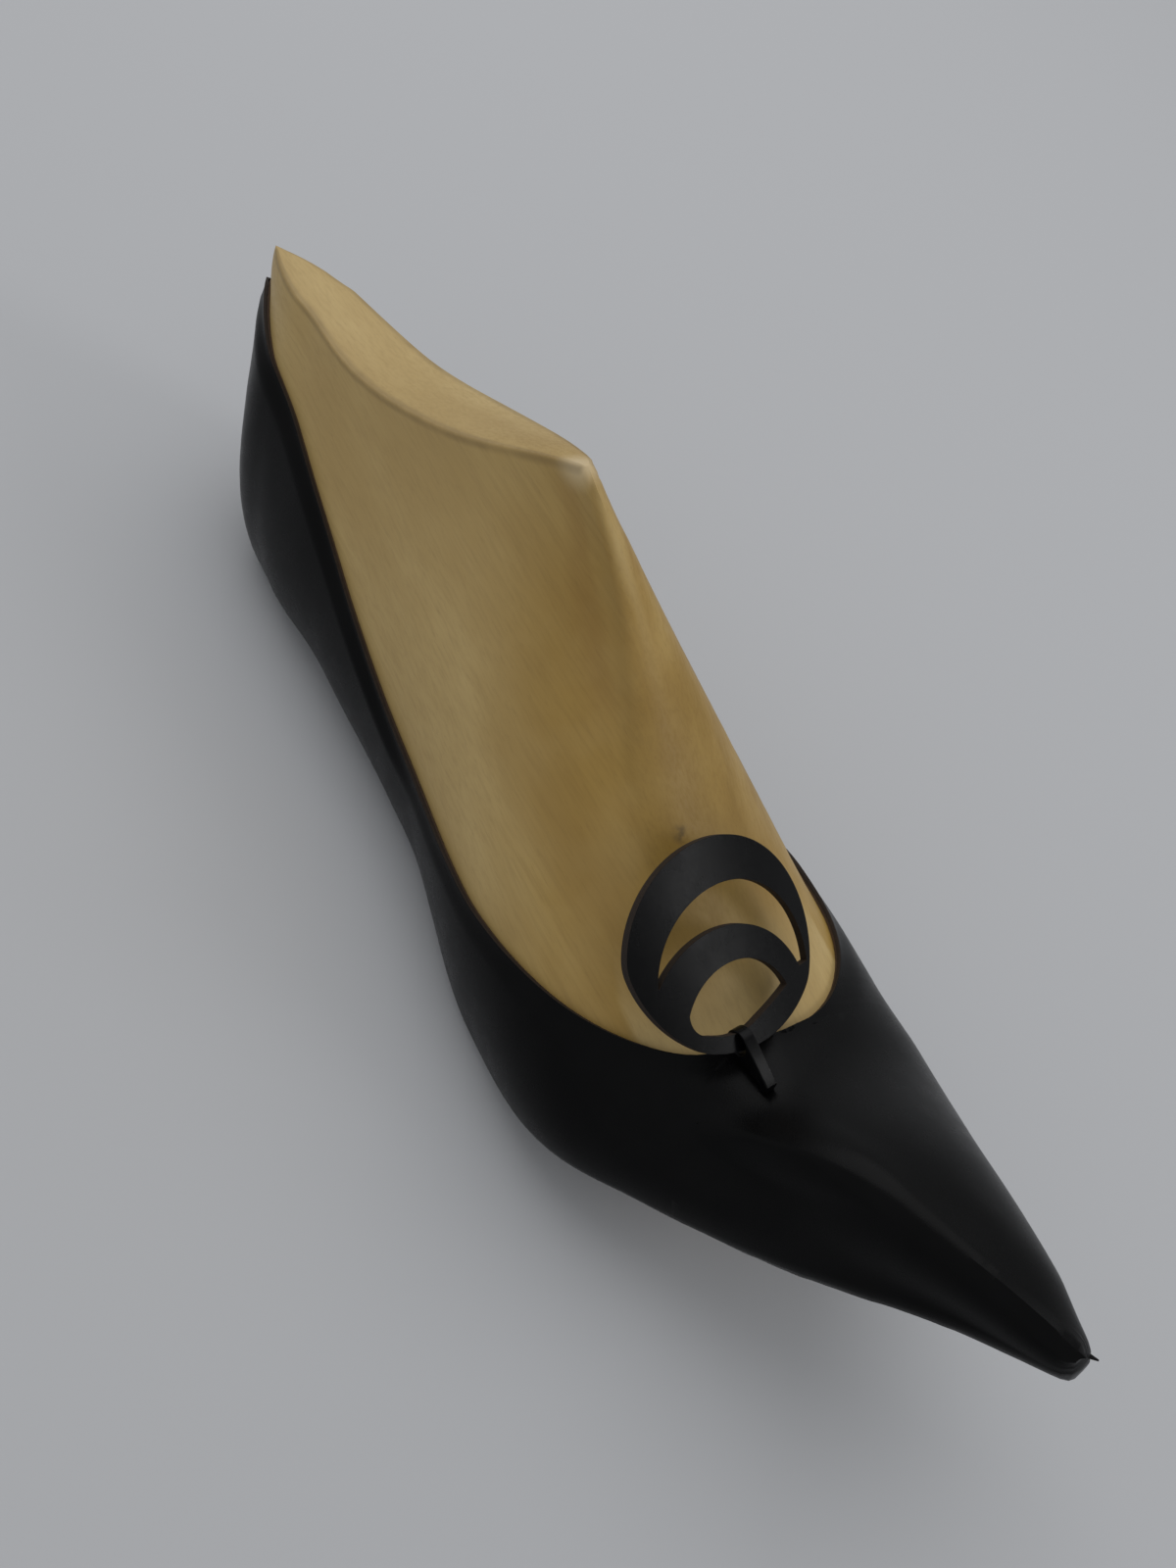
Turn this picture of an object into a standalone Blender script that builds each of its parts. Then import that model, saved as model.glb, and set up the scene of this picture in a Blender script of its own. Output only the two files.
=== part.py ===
# A one-piece wooden last with a pump upper lasted over it, ready for its bottom and heel.
# Lengths are in millimetres in the last's own frame: X from heel to toe, Y to the wearer's
# left, Z up from the tread. One empty then tips the whole thing back onto its heel, as it lies.

import math

import bmesh
import bpy
import numpy as np
from mathutils import Matrix, Vector
from mathutils.bvhtree import BVHTree

for leftover in list(bpy.data.objects):
    bpy.data.objects.remove(leftover)

MM = 0.001

# the last
LAST_LENGTH = 255.5
SEAT_HEIGHT = 66.5
SEAT_PITCH = 0.29
SEAT_LENGTH = 42.0
CONE_HEIGHT = 143.0
SCOOP_FLOOR = 117.0
SCOOP_RISE = 12.4
INSTEP_HEIGHT = 124.5
THROAT_HEIGHT = 28.5
TOE_RIDGE_HEIGHT = 29.6
TOE_TIP_HEIGHT = 2.7
TIP_EASE = 1.5
TREAD_HEIGHT = 3.7
TOE_SPRING = 13.5
BACK_HEIGHT = 122.0
# longer than the last is, for the reach of cutters
BEYOND = 1.5 * LAST_LENGTH

# leather, board and felt
CLEARANCE = 0.3
INSOLE_THICKNESS = 2.0
LINING_THICKNESS = 0.5
STIFFENER_THICKNESS = 0.6
UPPER_THICKNESS = 0.9
MARGIN_WIDTH = 14.0
TOE_PUFF_BACK = 208.0
COUNTER_FRONT = 64.0
COUNTER_DROP = 5.0
STIFFENER_MARGIN = 8.0
STIFFENER_RAMP = 16.0

# the throat, a round scoop in plan
THROAT_FRONT = 183.5
THROAT_DEPTH = 72.0
THROAT_HALF_WIDTH = 44.0
THROAT_OFFSET = 3.0

# the leather ornament: circles (sideways, up, radius) measured from its hinge
RING_THICKNESS = 2.0
RING_LEAN = 33.0
RING_BAR = 3.6
OUTER_CIRCLE = (1.7, 18.4, 21.9)
INNER_CIRCLE = (0.2, 5.4, 17.4)
BASE_CIRCLE = (3.3, 24.3, 25.8)
CRESCENT_CIRCLE = (2.0, 12.7, 17.8)
CRESCENT_FOOT = 8.0
EYE_CIRCLE = (1.2, 2.4, 12.7)
FLOOR_CIRCLE = (1.0, 21.6, 20.0)

# the strap that holds the bar, doubled round it and let into the vamp
HINGE_X = 182.6
HINGE_Y = -10.7
KEEPER_WIDTH = 3.0
KEEPER_THICKNESS = 0.8
KEEPER_REACH = 8.8

# the steel shank under the insole, and the nails
SHANK_LENGTH = 88.0
SHANK_WIDTH = 9.0
SHANK_THICKNESS = 1.0
SHANK_START = 36.0
SHANK_RIB = 0.5
RIVET_RADIUS = 1.5
RIVET_HEAD_RADIUS = 2.6
RIVET_HEAD_THICKNESS = 0.6
SHANK_RIVETS = (44.0, 100.0)
TACK_RADIUS = 0.7
TACK_HEAD_RADIUS = 2.1
TACK_HEAD_THICKNESS = 0.7
TACK_LENGTH = 10.0
TACK_INSET = 7.0
LASTING_TACKS = (0.66, 0.73, 0.81, 0.89)
INSOLE_TACKS = (24.0, 190.0)

# stations round the last, heel to toe: how far along, inner and outer feather edge in plan,
# the crest line's place, half the crest's width, and how much of each wall its rounding takes
STATIONS = (
    (0.00, (0.0, 0.0), (0.0, 0.0), (5.0, -2.5, CONE_HEIGHT + 4), 4.2, 0),
    (0.05, (3.4, -14.0), (4.0, 14.0), (15.0, -1.0, CONE_HEIGHT), 4.0, 0),
    (0.12, (18.0, -19.0), (18.0, 23.5), (16.5, 0.0, CONE_HEIGHT - 4), 4.4, 2),
    (0.25, (50.0, -21.0), (48.0, 26.5), (38.0, 1.0, CONE_HEIGHT - 8), 6.2, 4),
    (0.40, (89.0, -24.0), (83.0, 25.7), (76.0, 2.5, CONE_HEIGHT - 4), 5.5, 7),
    (0.54, (129.0, -34.5), (118.6, 33.0), (113.0, 1.0, INSTEP_HEIGHT), 1.6, 11),
    (0.68, (165.5, -36.8), (158.0, 41.3), (164.5, -6.5, 50.5), 0.6, 20),
    (0.79, (194.5, -24.4), (194.4, 32.5), (187.0, -15.5, THROAT_HEIGHT), 0.5, 12),
    (0.90, (222.0, -14.8), (228.0, 14.7), (220.0, -10.2, TOE_RIDGE_HEIGHT), 0.0, 2),
    (1.00, (LAST_LENGTH, -0.5), (LAST_LENGTH, -0.5),
     (LAST_LENGTH, -0.5, TREAD_HEIGHT + TOE_SPRING + TOE_TIP_HEIGHT), 0.0, 0),
)
# how far each wall swells above the feather and below the crest, and how tall each swell is
WALLS = (
    ((8.9, 0.32, 9.0, 0.26), (8.9, 0.32, 9.0, 0.26)),
    ((9.7, 0.31, 3.2, 0.28), (9.0, 0.30, 5.2, 0.31)),
    ((8.1, 0.28, 3.6, 0.30), (8.0, 0.30, 4.8, 0.32)),
    ((8.3, 0.28, 1.6, 0.32), (8.0, 0.30, 5.1, 0.33)),
    ((10.8, 0.41, -6.7, 0.30), (7.9, 0.36, 6.0, 0.29)),
    ((9.5, 0.43, -13.4, 0.21), (6.8, 0.36, 8.2, 0.20)),
    ((5.8, 0.40, 6.2, 0.11), (5.5, 0.45, 27.8, 0.02)),
    ((2.2, 0.48, 0.0, 0.31), (5.0, 0.43, 32.4, -0.01)),
    ((-3.9, 0.36, 4.7, 0.43), (4.0, 0.41, 17.6, 0.07)),
    ((0.0, 0.33, 0.0, 0.33), (0.0, 0.33, 0.0, 0.33)),
)
# the way each wall faces, turning from straight back at the heel to sideways
FACING = (0, 50, 88, 90, 90, 90, 90, 90, 90, 90)
# heights along X: the waist and forepart of the feather, the scooped top, and the topline
BOTTOM_LINE = ((SEAT_LENGTH + 14.0, SEAT_HEIGHT - 19.8), (85.0, TREAD_HEIGHT + 27.4),
               (120.0, TREAD_HEIGHT + 6.2), (150.0, TREAD_HEIGHT), (172.0, TREAD_HEIGHT + 0.2),
               (200.0, TREAD_HEIGHT + 0.06 * TOE_SPRING),
               (232.0, TREAD_HEIGHT + 0.61 * TOE_SPRING), (LAST_LENGTH, TREAD_HEIGHT + TOE_SPRING))
SCOOP_LINE = ((-8.0, SCOOP_FLOOR + SCOOP_RISE + 10), (12.0, SCOOP_FLOOR + SCOOP_RISE),
              (40.0, SCOOP_FLOOR + 0.19 * SCOOP_RISE), (70.0, SCOOP_FLOOR),
              (97.0, SCOOP_FLOOR + 2.5), (130.0, SCOOP_FLOOR + 8.0))
TOPLINE = ((-12.0, BACK_HEIGHT + 11.5), (5.0, BACK_HEIGHT), (33.0, 101.0), (71.0, 68.0), (107.0, 46.7),
           (145.0, 35.2), (165.0, 28.5), (200.0, 20.0))

COLUMNS = (0, .012, .028, .05, .08, .12, .165, .21, .255, .30, .345, .39, .43, .47, .505, .54, .575, .61,
           .645, .68, .715, .75, .79, .825, .86, .90, .93, .96, .985, 1)
WALL_ROWS = (0, .1, .22, .36, .52, .68, .84, 1)
CREST_ROWS = (.25, .5, .75)
SOLE_ROWS = (0, .07, .3, .5, .7, .93, 1)

WOOD = ("beech", (0.62, 0.45, 0.22), 0.45, 0.0)
LEATHER = ("black_leather", (0.012, 0.012, 0.013), 0.38, 0.0)
LINING_LEATHER = ("brown_lining", (0.16, 0.09, 0.045), 0.7, 0.0)
BOARD = ("insole_board", (0.42, 0.30, 0.18), 0.85, 0.0)
FELT = ("stiffener", (0.55, 0.48, 0.38), 0.9, 0.0)
STEEL = ("steel", (0.45, 0.45, 0.46), 0.35, 1.0)


def curve(points, at):
    """Read a smooth curve through (position, value...) points."""
    table = np.asarray(points, float)
    x, y = table[:, 0], table[:, 1:]
    step = np.diff(x)[:, None]
    slope = np.diff(y, axis=0) / step
    tangent = np.empty_like(y)
    tangent[1:-1] = (slope[:-1] * step[1:] + slope[1:] * step[:-1]) / (step[:-1] + step[1:])
    tangent[0] = ((2 * step[0] + step[1]) * slope[0] - step[0] * slope[1]) / (step[0] + step[1])
    tangent[-1] = ((2 * step[-1] + step[-2]) * slope[-1] - step[-1] * slope[-2]) / (step[-1] + step[-2])
    at = np.clip(np.atleast_1d(np.asarray(at, float)), x[0], x[-1])
    k = np.clip(np.searchsorted(x, at, side="right") - 1, 0, len(x) - 2)
    t = ((at - x[k]) / step[k, 0])[:, None]
    return ((1 + 2 * t) * (1 - t) ** 2 * y[k] + t * (1 - t) ** 2 * step[k] * tangent[k]
            + t * t * (3 - 2 * t) * y[k + 1] + t * t * (t - 1) * step[k] * tangent[k + 1])


def bottom_height(x):
    """The seat is flat as far as SEAT_LENGTH, then the waist drops to the tread."""
    seat = [(p, SEAT_HEIGHT - SEAT_PITCH * p) for p in (-20.0, 0.5 * SEAT_LENGTH, SEAT_LENGTH)]
    return curve(seat + list(BOTTOM_LINE), x)[:, 0]


def reach(points):
    """Distance along a line of points, from its start."""
    return np.concatenate([[0.0], np.cumsum(np.linalg.norm(np.diff(points, axis=0), axis=1))])


def read_line(points, at):
    """Points at given distances along a line of points."""
    length = reach(points)
    return np.column_stack([np.interp(at, length, points[:, k]) for k in range(3)])


def wall(side, column):
    """One wall at one column: points from the feather edge to the shoulder, and the crest above."""
    along = [s[0] for s in STATIONS]
    plan = curve([(a, *s[1 + side]) for a, s in zip(along, STATIONS)], column)[0]
    crest = curve([(a, *s[3]) for a, s in zip(along, STATIONS)], column)[0]
    half, rounding = np.maximum(curve([(a, *s[4:]) for a, s in zip(along, STATIONS)], column)[0], 0)
    swell = curve([(a, *w[side]) for a, w in zip(along, WALLS)], column)[0]
    facing = math.radians(min(curve(list(zip(along, FACING)), column)[0, 0], 90.0))
    out = np.array([-math.cos(facing), (2 * side - 1) * math.sin(facing), 0.0])
    if column in (0, 1):
        half *= 1 - column
        out[1] = 0.0
    foot = np.array([*plan, bottom_height(plan[0])[0]])
    top = crest + out * half
    rise = np.array([0.0, 0.0, top[2] - foot[2]])
    low = foot + out * swell[0] + rise * swell[1]
    high = top + out * swell[2] - rise * swell[3]
    t = np.linspace(0, 1, 60)[:, None]
    line = (1 - t) ** 3 * foot + 3 * t * (1 - t) ** 2 * low + 3 * t * t * (1 - t) * high + t ** 3 * top
    length = reach(line)[-1]
    return read_line(line, np.array(WALL_ROWS) * (length - min(rounding, 0.6 * length))), top


def above(points, height):
    """The part of a wall that lies over a height above its feather edge, with as many points."""
    climb = points[:, 2] - points[0, 2]
    cut_at = np.array([np.interp(height, climb, points[:, k]) for k in range(3)])
    return np.where((climb < height)[:, None], cut_at, points)


def across_sole(start, end):
    return [start + (end - start) * t for t in SOLE_ROWS[1:-1]]


def full_section(column, lift=0.0):
    """One closed section: across the bottom, up the outer wall, over the crest, down the inner."""
    (inner, inner_top), (outer, outer_top) = wall(0, column), wall(1, column)
    apex = (inner_top + outer_top) / 2
    crest = [(1 - u) ** 2 * outer[-1] + 2 * u * (1 - u) * apex + u * u * inner[-1] for u in CREST_ROWS]
    inner, outer = above(inner, lift), above(outer, lift)
    return [inner[0], *across_sole(inner[0], outer[0]), *outer, *crest, *inner[:0:-1]]


def slab_section(column, thickness):
    """A section of what lies flat against the bottom, as wide as the walls are there."""
    inner, outer = wall(0, column)[0], wall(1, column)[0]
    inner_top, outer_top = above(inner, thickness)[0], above(outer, thickness)[0]
    return [inner[0], *across_sole(inner[0], outer[0]), outer[0],
            outer_top, *across_sole(outer_top, inner_top), inner_top]


def loft(rings):
    """Skin a row of closed sections, whose first and last have shrunk to a line."""
    bm = bmesh.new()
    count = len(rings[0])
    bmesh.ops.create_grid(bm, x_segments=count, y_segments=len(rings) - 1, size=0.5)
    bm.verts.ensure_lookup_table()
    for v in bm.verts:
        i = round((v.co.y + 0.5) * (len(rings) - 1))
        j = round((v.co.x + 0.5) * count) % count
        v.co = Vector(rings[i][j])
    bmesh.ops.triangulate(bm, faces=bm.faces, quad_method="FIXED")
    bmesh.ops.remove_doubles(bm, verts=bm.verts, dist=0.02)
    bmesh.ops.dissolve_degenerate(bm, edges=bm.edges, dist=0.01)
    bmesh.ops.recalc_face_normals(bm, faces=bm.faces)
    return bm


def grown(source, distance):
    """A copy of a skin, moved out along its normals by a distance that may vary from place to place."""
    bm = source.copy()
    bm.normal_update()
    moves = [v.normal * distance(v.co) * min(v.calc_shell_factor(), 1.5) for v in bm.verts]
    for v, move in zip(bm.verts, moves):
        v.co += move
    return bm


def ramp(value, start, end):
    """0 before start, 1 past end, smooth between."""
    t = min(max((value - start) / (end - start), 0.0), 1.0)
    return t * t * (3 - 2 * t)


def topline_height(x):
    return float(curve(TOPLINE, x)[0, 0])


def over_stiffeners(co):
    """How much the toe puff and the counter push the upper out."""
    toe = ramp(co.x, TOE_PUFF_BACK - 2 * STIFFENER_RAMP, TOE_PUFF_BACK - STIFFENER_RAMP)
    heel = 1 - ramp(co.x, COUNTER_FRONT + STIFFENER_RAMP, COUNTER_FRONT + 2 * STIFFENER_RAMP)
    return (STIFFENER_THICKNESS + CLEARANCE) * max(toe, heel)


LINING_INSIDE = CLEARANCE
LINING_OUTSIDE = LINING_INSIDE + LINING_THICKNESS
STIFFENER_INSIDE = LINING_OUTSIDE + CLEARANCE
STIFFENER_OUTSIDE = STIFFENER_INSIDE + STIFFENER_THICKNESS


def upper_inside(co):
    return STIFFENER_INSIDE + over_stiffeners(co)


def upper_outside(co):
    return upper_inside(co) + UPPER_THICKNESS


def material(finish):
    name, colour, roughness, metallic = finish
    found = bpy.data.materials.get(name)
    if found:
        return found
    made = bpy.data.materials.new(name)
    made.use_nodes = True
    shader = made.node_tree.nodes["Principled BSDF"]
    shader.inputs["Base Color"].default_value = (*colour, 1.0)
    shader.inputs["Roughness"].default_value = roughness
    shader.inputs["Metallic"].default_value = metallic
    return made


def solid(name, bm, finish=None, parent=None):
    """Turn a mesh in millimetres into an object; one with no finish is a cutter."""
    mesh = bpy.data.meshes.new(name)
    bmesh.ops.scale(bm, vec=(MM, MM, MM), verts=bm.verts)
    bm.to_mesh(mesh)
    bm.free()
    obj = bpy.data.objects.new(name, mesh)
    bpy.context.scene.collection.objects.link(obj)
    obj.parent = parent
    if finish:
        mesh.materials.append(material(finish))
        mesh.shade_smooth()
        mesh.set_sharp_from_angle(angle=math.radians(35))
    else:
        obj.hide_render = True
        obj.display_type = "WIRE"
    return obj


def cut(obj, cutter, operation="DIFFERENCE"):
    step = obj.modifiers.new(f"cut {len(obj.modifiers) + 1}", "BOOLEAN")
    step.operation = operation
    step.solver = "EXACT"
    step.object = cutter


def prism(outline, depth, centre=0.0):
    """A closed outline in (x, z), pulled out across Y."""
    bm = bmesh.new()
    face = bm.faces.new([bm.verts.new((x, centre - depth / 2, z)) for x, z in outline])
    pulled = bmesh.ops.extrude_face_region(bm, geom=[face])
    bmesh.ops.translate(bm, vec=(0, depth, 0),
                        verts=[v for v in pulled["geom"] if isinstance(v, bmesh.types.BMVert)])
    bmesh.ops.recalc_face_normals(bm, faces=bm.faces)
    return bm


def cylinder(radius, start, end, sides=16, end_radius=None):
    """A round bar or cone between two points."""
    start, end = Vector(start), Vector(end)
    bm = bmesh.new()
    bmesh.ops.create_cone(bm, cap_ends=True, segments=sides, radius1=radius,
                          radius2=radius if end_radius is None else end_radius,
                          depth=(end - start).length)
    turn = Vector((0, 0, 1)).rotation_difference(end - start).to_matrix().to_4x4()
    bmesh.ops.transform(bm, matrix=Matrix.Translation((start + end) / 2) @ turn, verts=bm.verts)
    return bm


def joined(meshes):
    """Several closed meshes in one, for a cutter."""
    bm = bmesh.new()
    for part in meshes:
        shift = len(bm.verts)
        for v in part.verts:
            bm.verts.new(v.co)
        bm.verts.ensure_lookup_table()
        part.verts.index_update()
        for f in part.faces:
            bm.faces.new([bm.verts[shift + v.index] for v in f.verts])
        part.free()
    return bm


def feather_strip(inset, below, above, first, last):
    """A block under the last whose outline follows the feather edge at an inset."""
    bm = bmesh.new()
    sections = []
    for column in np.linspace(0.02, 0.97, 60):
        inner, outer = wall(0, column)[0][0], wall(1, column)[0][0]
        middle = (inner + outer) / 2
        x = float(middle[0])
        half = (outer[1] - inner[1]) / 2 - inset
        if first <= x <= last and half > 1.0:
            sections.append((x, float(middle[1]), half, float(bottom_height(x)[0])))
    # round the back of the block like the seat it lies in
    rings = []
    for x, y, half, z in sections:
        if x - first < half:
            half = math.sqrt(max(half ** 2 - (half - (x - first)) ** 2, 0.25))
        rings.append([bm.verts.new(p) for p in ((x, y - half, z - below), (x, y + half, z - below),
                                                (x, y + half, z + above), (x, y - half, z + above))])
    for a, b in zip(rings, rings[1:]):
        for k in range(4):
            bm.faces.new((a[k], a[(k + 1) % 4], b[(k + 1) % 4], b[k]))
    bm.faces.new(rings[0])
    bm.faces.new(rings[-1])
    bmesh.ops.recalc_face_normals(bm, faces=bm.faces)
    return bm


rest = bpy.data.objects.new("rest_pose", None)
bpy.context.scene.collection.objects.link(rest)

# the shape that the leather is pulled over: the last with its insole on
core = loft([full_section(c) for c in COLUMNS])

# the wooden last, with its top sanded out to a saddle
last_bottom = INSOLE_THICKNESS + CLEARANCE
last_rings = [full_section(c, last_bottom) for c in COLUMNS]
last_rings[-1] = [p - np.array([TIP_EASE, 0, 0]) for p in last_rings[-1]]
last_body = solid("last_body", loft(last_rings), WOOD, rest)
scoop_x = np.linspace(SCOOP_LINE[0][0], SCOOP_LINE[-1][0], 25)
scoop_z = curve(SCOOP_LINE, scoop_x)[:, 0]
scoop = [*zip(scoop_x, scoop_z), (SCOOP_LINE[-1][0], BEYOND), (SCOOP_LINE[0][0], BEYOND)]
cut(last_body, solid("scoop_cutter", prism(scoop, BEYOND), parent=rest))

# the insole, cut flush with the feather edge
insole = solid("insole_board", loft([slab_section(c, INSOLE_THICKNESS) for c in COLUMNS]), BOARD, rest)


def opening(drop=0.0):
    """Everything above the topline: its side profile, ended at the throat by a round front."""
    bm = bmesh.new()
    centre = THROAT_FRONT - THROAT_DEPTH
    outline = [(-40.0, -THROAT_HALF_WIDTH)]
    outline += [(centre + THROAT_DEPTH * math.cos(a), THROAT_HALF_WIDTH * math.sin(a))
                for a in np.radians(np.linspace(-90, 90, 33))]
    outline += [(-40.0, THROAT_HALF_WIDTH)]
    # cut the plan into slices along X, so that the underside can follow the topline
    stops = sorted({round(x, 4) for x, _ in outline} | set(np.linspace(-36, centre, 30).round(4)))
    rings = []
    for x in stops:
        reach = (x - centre) / THROAT_DEPTH
        half = THROAT_HALF_WIDTH * (math.sqrt(max(1 - reach * reach, 0.0)) if reach > 0 else 1.0)
        z = topline_height(x) - drop
        rings.append([(x, THROAT_OFFSET - half, z), (x, THROAT_OFFSET + half, z),
                      (x, THROAT_OFFSET + half, BEYOND), (x, THROAT_OFFSET - half, BEYOND)])
    made = [[bm.verts.new(p) for p in ring] for ring in rings]
    for a, b in zip(made, made[1:]):
        for k in range(4):
            bm.faces.new((a[k], a[(k + 1) % 4], b[(k + 1) % 4], b[k]))
    bm.faces.new(made[0])
    bm.faces.new(made[-1])
    bmesh.ops.remove_doubles(bm, verts=bm.verts, dist=0.001)
    bmesh.ops.dissolve_degenerate(bm, edges=bm.edges, dist=0.001)
    bmesh.ops.recalc_face_normals(bm, faces=bm.faces)
    return bm


topline_cutter = solid("topline_cutter", opening(), parent=rest)
window_cutter = solid("window_cutter", feather_strip(MARGIN_WIDTH, MARGIN_WIDTH, UPPER_THICKNESS, MARGIN_WIDTH,
                                                     LAST_LENGTH), parent=rest)


def shell(name, inside, outside, finish, cutters):
    """A skin of leather between two distances from the core, opened by its cutters."""
    obj = solid(name, grown(core, outside), finish, rest)
    cut(obj, solid(f"{name}_hollow", grown(core, inside), parent=rest))
    for cutter in cutters:
        cut(obj, cutter)
    return obj


# the upper and its lining
lining = shell("lining", lambda co: LINING_INSIDE, lambda co: LINING_OUTSIDE, LINING_LEATHER,
               [topline_cutter, window_cutter])
upper = shell("upper", upper_inside, upper_outside, LEATHER, [topline_cutter, window_cutter])

# the stiffeners between them
stiffener_window = solid("stiffener_window",
                         feather_strip(STIFFENER_MARGIN, MARGIN_WIDTH, UPPER_THICKNESS, STIFFENER_MARGIN,
                                       LAST_LENGTH), parent=rest)
low_topline = solid("counter_topline", opening(COUNTER_DROP), parent=rest)
behind = [(-BEYOND, -BEYOND), (TOE_PUFF_BACK, -BEYOND), (TOE_PUFF_BACK, BEYOND), (-BEYOND, BEYOND)]
behind_puff = solid("puff_back", prism(behind, BEYOND), parent=rest)
ahead = [(COUNTER_FRONT, -BEYOND), (BEYOND, -BEYOND), (BEYOND, BEYOND), (COUNTER_FRONT, BEYOND)]
ahead_counter = solid("counter_front", prism(ahead, BEYOND), parent=rest)
toe_puff = shell("toe_puff", lambda co: STIFFENER_INSIDE, lambda co: STIFFENER_OUTSIDE, FELT,
                 [behind_puff, stiffener_window])
heel_counter = shell("heel_counter", lambda co: STIFFENER_INSIDE, lambda co: STIFFENER_OUTSIDE, FELT,
                     [ahead_counter, low_topline, stiffener_window])

# where things sit on the outside of the upper
skin = grown(core, upper_outside)
skin_tree = BVHTree.FromBMesh(skin)


def on_skin(x, y, from_below=False):
    """The place and outward direction of the upper's surface over or under a point in plan."""
    start = Vector((x, y, -BEYOND if from_below else BEYOND))
    place, normal, _, _ = skin_tree.ray_cast(start, Vector((0, 0, 1 if from_below else -1)))
    return place, normal


def turned(profile, sides):
    """A solid of revolution about Z from (radius, height) points, first and last on the axis."""
    bm = bmesh.new()
    made = [bm.verts.new((r, 0, z)) for r, z in profile]
    edges = [bm.edges.new(pair) for pair in zip(made, made[1:])]
    bmesh.ops.spin(bm, geom=edges, axis=(0, 0, 1), cent=(0, 0, 0), steps=sides, angle=math.tau, use_merge=True)
    bmesh.ops.remove_doubles(bm, verts=bm.verts, dist=0.001)
    bmesh.ops.recalc_face_normals(bm, faces=bm.faces)
    return bm


def stood(bm, place, up):
    """Stand a mesh made along Z at a place, pointing a given way."""
    turn = Vector((0, 0, 1)).rotation_difference(up).to_matrix().to_4x4()
    bmesh.ops.transform(bm, matrix=Matrix.Translation(place) @ turn, verts=bm.verts)
    return bm


def nail(radius, head_radius, head, length):
    """A nail with a domed head below z = 0 and its point at z = length."""
    return turned([(0, -head), (0.7 * head_radius, -0.85 * head), (head_radius, 0), (radius, 0),
                   (radius, 0.7 * length), (0, length)], 8)


# tacks: the forepart's margin is pulled in and tacked, and two hold the insole to the last
tack_places = []
for column in LASTING_TACKS:
    for side in (0, 1):
        edge = wall(side, column)[0][0]
        place, normal = on_skin(edge[0], edge[1] - (2 * side - 1) * TACK_INSET, from_below=True)
        tack_places.append((f"lasting_tack_{len(tack_places) + 1}", place, -normal))
for count, x in enumerate(INSOLE_TACKS, 1):
    edges = [wall(side, x / LAST_LENGTH)[0][0] for side in (0, 1)]
    slope = (bottom_height(x + 1)[0] - bottom_height(x - 1)[0]) / 2
    place = Vector((x, (edges[0][1] + edges[1][1]) / 2, bottom_height(x)[0]))
    tack_places.append((f"insole_tack_{count}", place, Vector((-slope, 0, 1)).normalized()))
tack_holes = []
for name, place, up in tack_places:
    seat = place - up * CLEARANCE
    solid(name, stood(nail(TACK_RADIUS, TACK_HEAD_RADIUS, TACK_HEAD_THICKNESS, TACK_LENGTH), seat, up), STEEL, rest)
    hole = cylinder(TACK_RADIUS + CLEARANCE, place - up * 2, place + up * (TACK_LENGTH + CLEARANCE), 8)
    tack_holes.append(hole)
tack_cutter = solid("tack_holes", joined(tack_holes), parent=rest)
for obj in (last_body, insole, lining, upper, toe_puff):
    cut(obj, tack_cutter)

# the steel shank lies along the waist under the insole, with a rib pressed down its middle
half_width, rib = SHANK_WIDTH / 2, SHANK_RIB
shank_top = [(-half_width, 0), (-0.36 * half_width, 0), (-0.2 * half_width, -rib), (0.2 * half_width, -rib),
             (0.36 * half_width, 0), (half_width, 0)]
shank_shape = shank_top + [(y, z - SHANK_THICKNESS) for y, z in reversed(shank_top)]


def waist_middle(x):
    """The middle of the bottom at x, and the way up from it."""
    sides = [[wall(side, c)[0][0] for c in np.linspace(0.05, 0.65, 25)] for side in (0, 1)]
    y = sum(np.interp(x, [p[0] for p in line], [p[1] for p in line]) for line in sides) / 2
    slope = (bottom_height(x + 1)[0] - bottom_height(x - 1)[0]) / 2
    return Vector((x, y, bottom_height(x)[0])), Vector((-slope, 0, 1)).normalized()


shank_bm = bmesh.new()
rings = []
for x in np.linspace(SHANK_START, SHANK_START + SHANK_LENGTH, 15):
    middle, up = waist_middle(x)
    rings.append([shank_bm.verts.new(middle + Vector((0, y, 0)) + up * (z - CLEARANCE)) for y, z in shank_shape])
for ring, nxt in zip(rings, rings[1:]):
    for k in range(len(ring)):
        j = (k + 1) % len(ring)
        shank_bm.faces.new((ring[k], ring[j], nxt[j], nxt[k]))
shank_bm.faces.new(rings[0])
shank_bm.faces.new(rings[-1])
bmesh.ops.recalc_face_normals(shank_bm, faces=shank_bm.faces)
steel_shank = solid("steel_shank", shank_bm, STEEL, rest)

rivet_holes = []
for count, x in enumerate(SHANK_RIVETS, 1):
    middle, up = waist_middle(x)
    under = middle - up * (SHANK_THICKNESS + SHANK_RIB + 2 * CLEARANCE)
    tall = SHANK_THICKNESS + SHANK_RIB + 2 * CLEARANCE + 0.6 * INSOLE_THICKNESS
    rivet = turned([(0, -RIVET_HEAD_THICKNESS), (0.75 * RIVET_HEAD_RADIUS, -RIVET_HEAD_THICKNESS),
                    (RIVET_HEAD_RADIUS, 0), (RIVET_RADIUS, 0), (RIVET_RADIUS, tall), (0, tall)], 12)
    solid(f"shank_rivet_{count}", stood(rivet, under, up), STEEL, rest)
    rivet_holes.append(cylinder(RIVET_RADIUS + CLEARANCE, under - up, middle + up * (INSOLE_THICKNESS + 1), 12))
rivet_cutter = solid("rivet_holes", joined(rivet_holes), parent=rest)
cut(steel_shank, rivet_cutter)
cut(insole, rivet_cutter)

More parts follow.
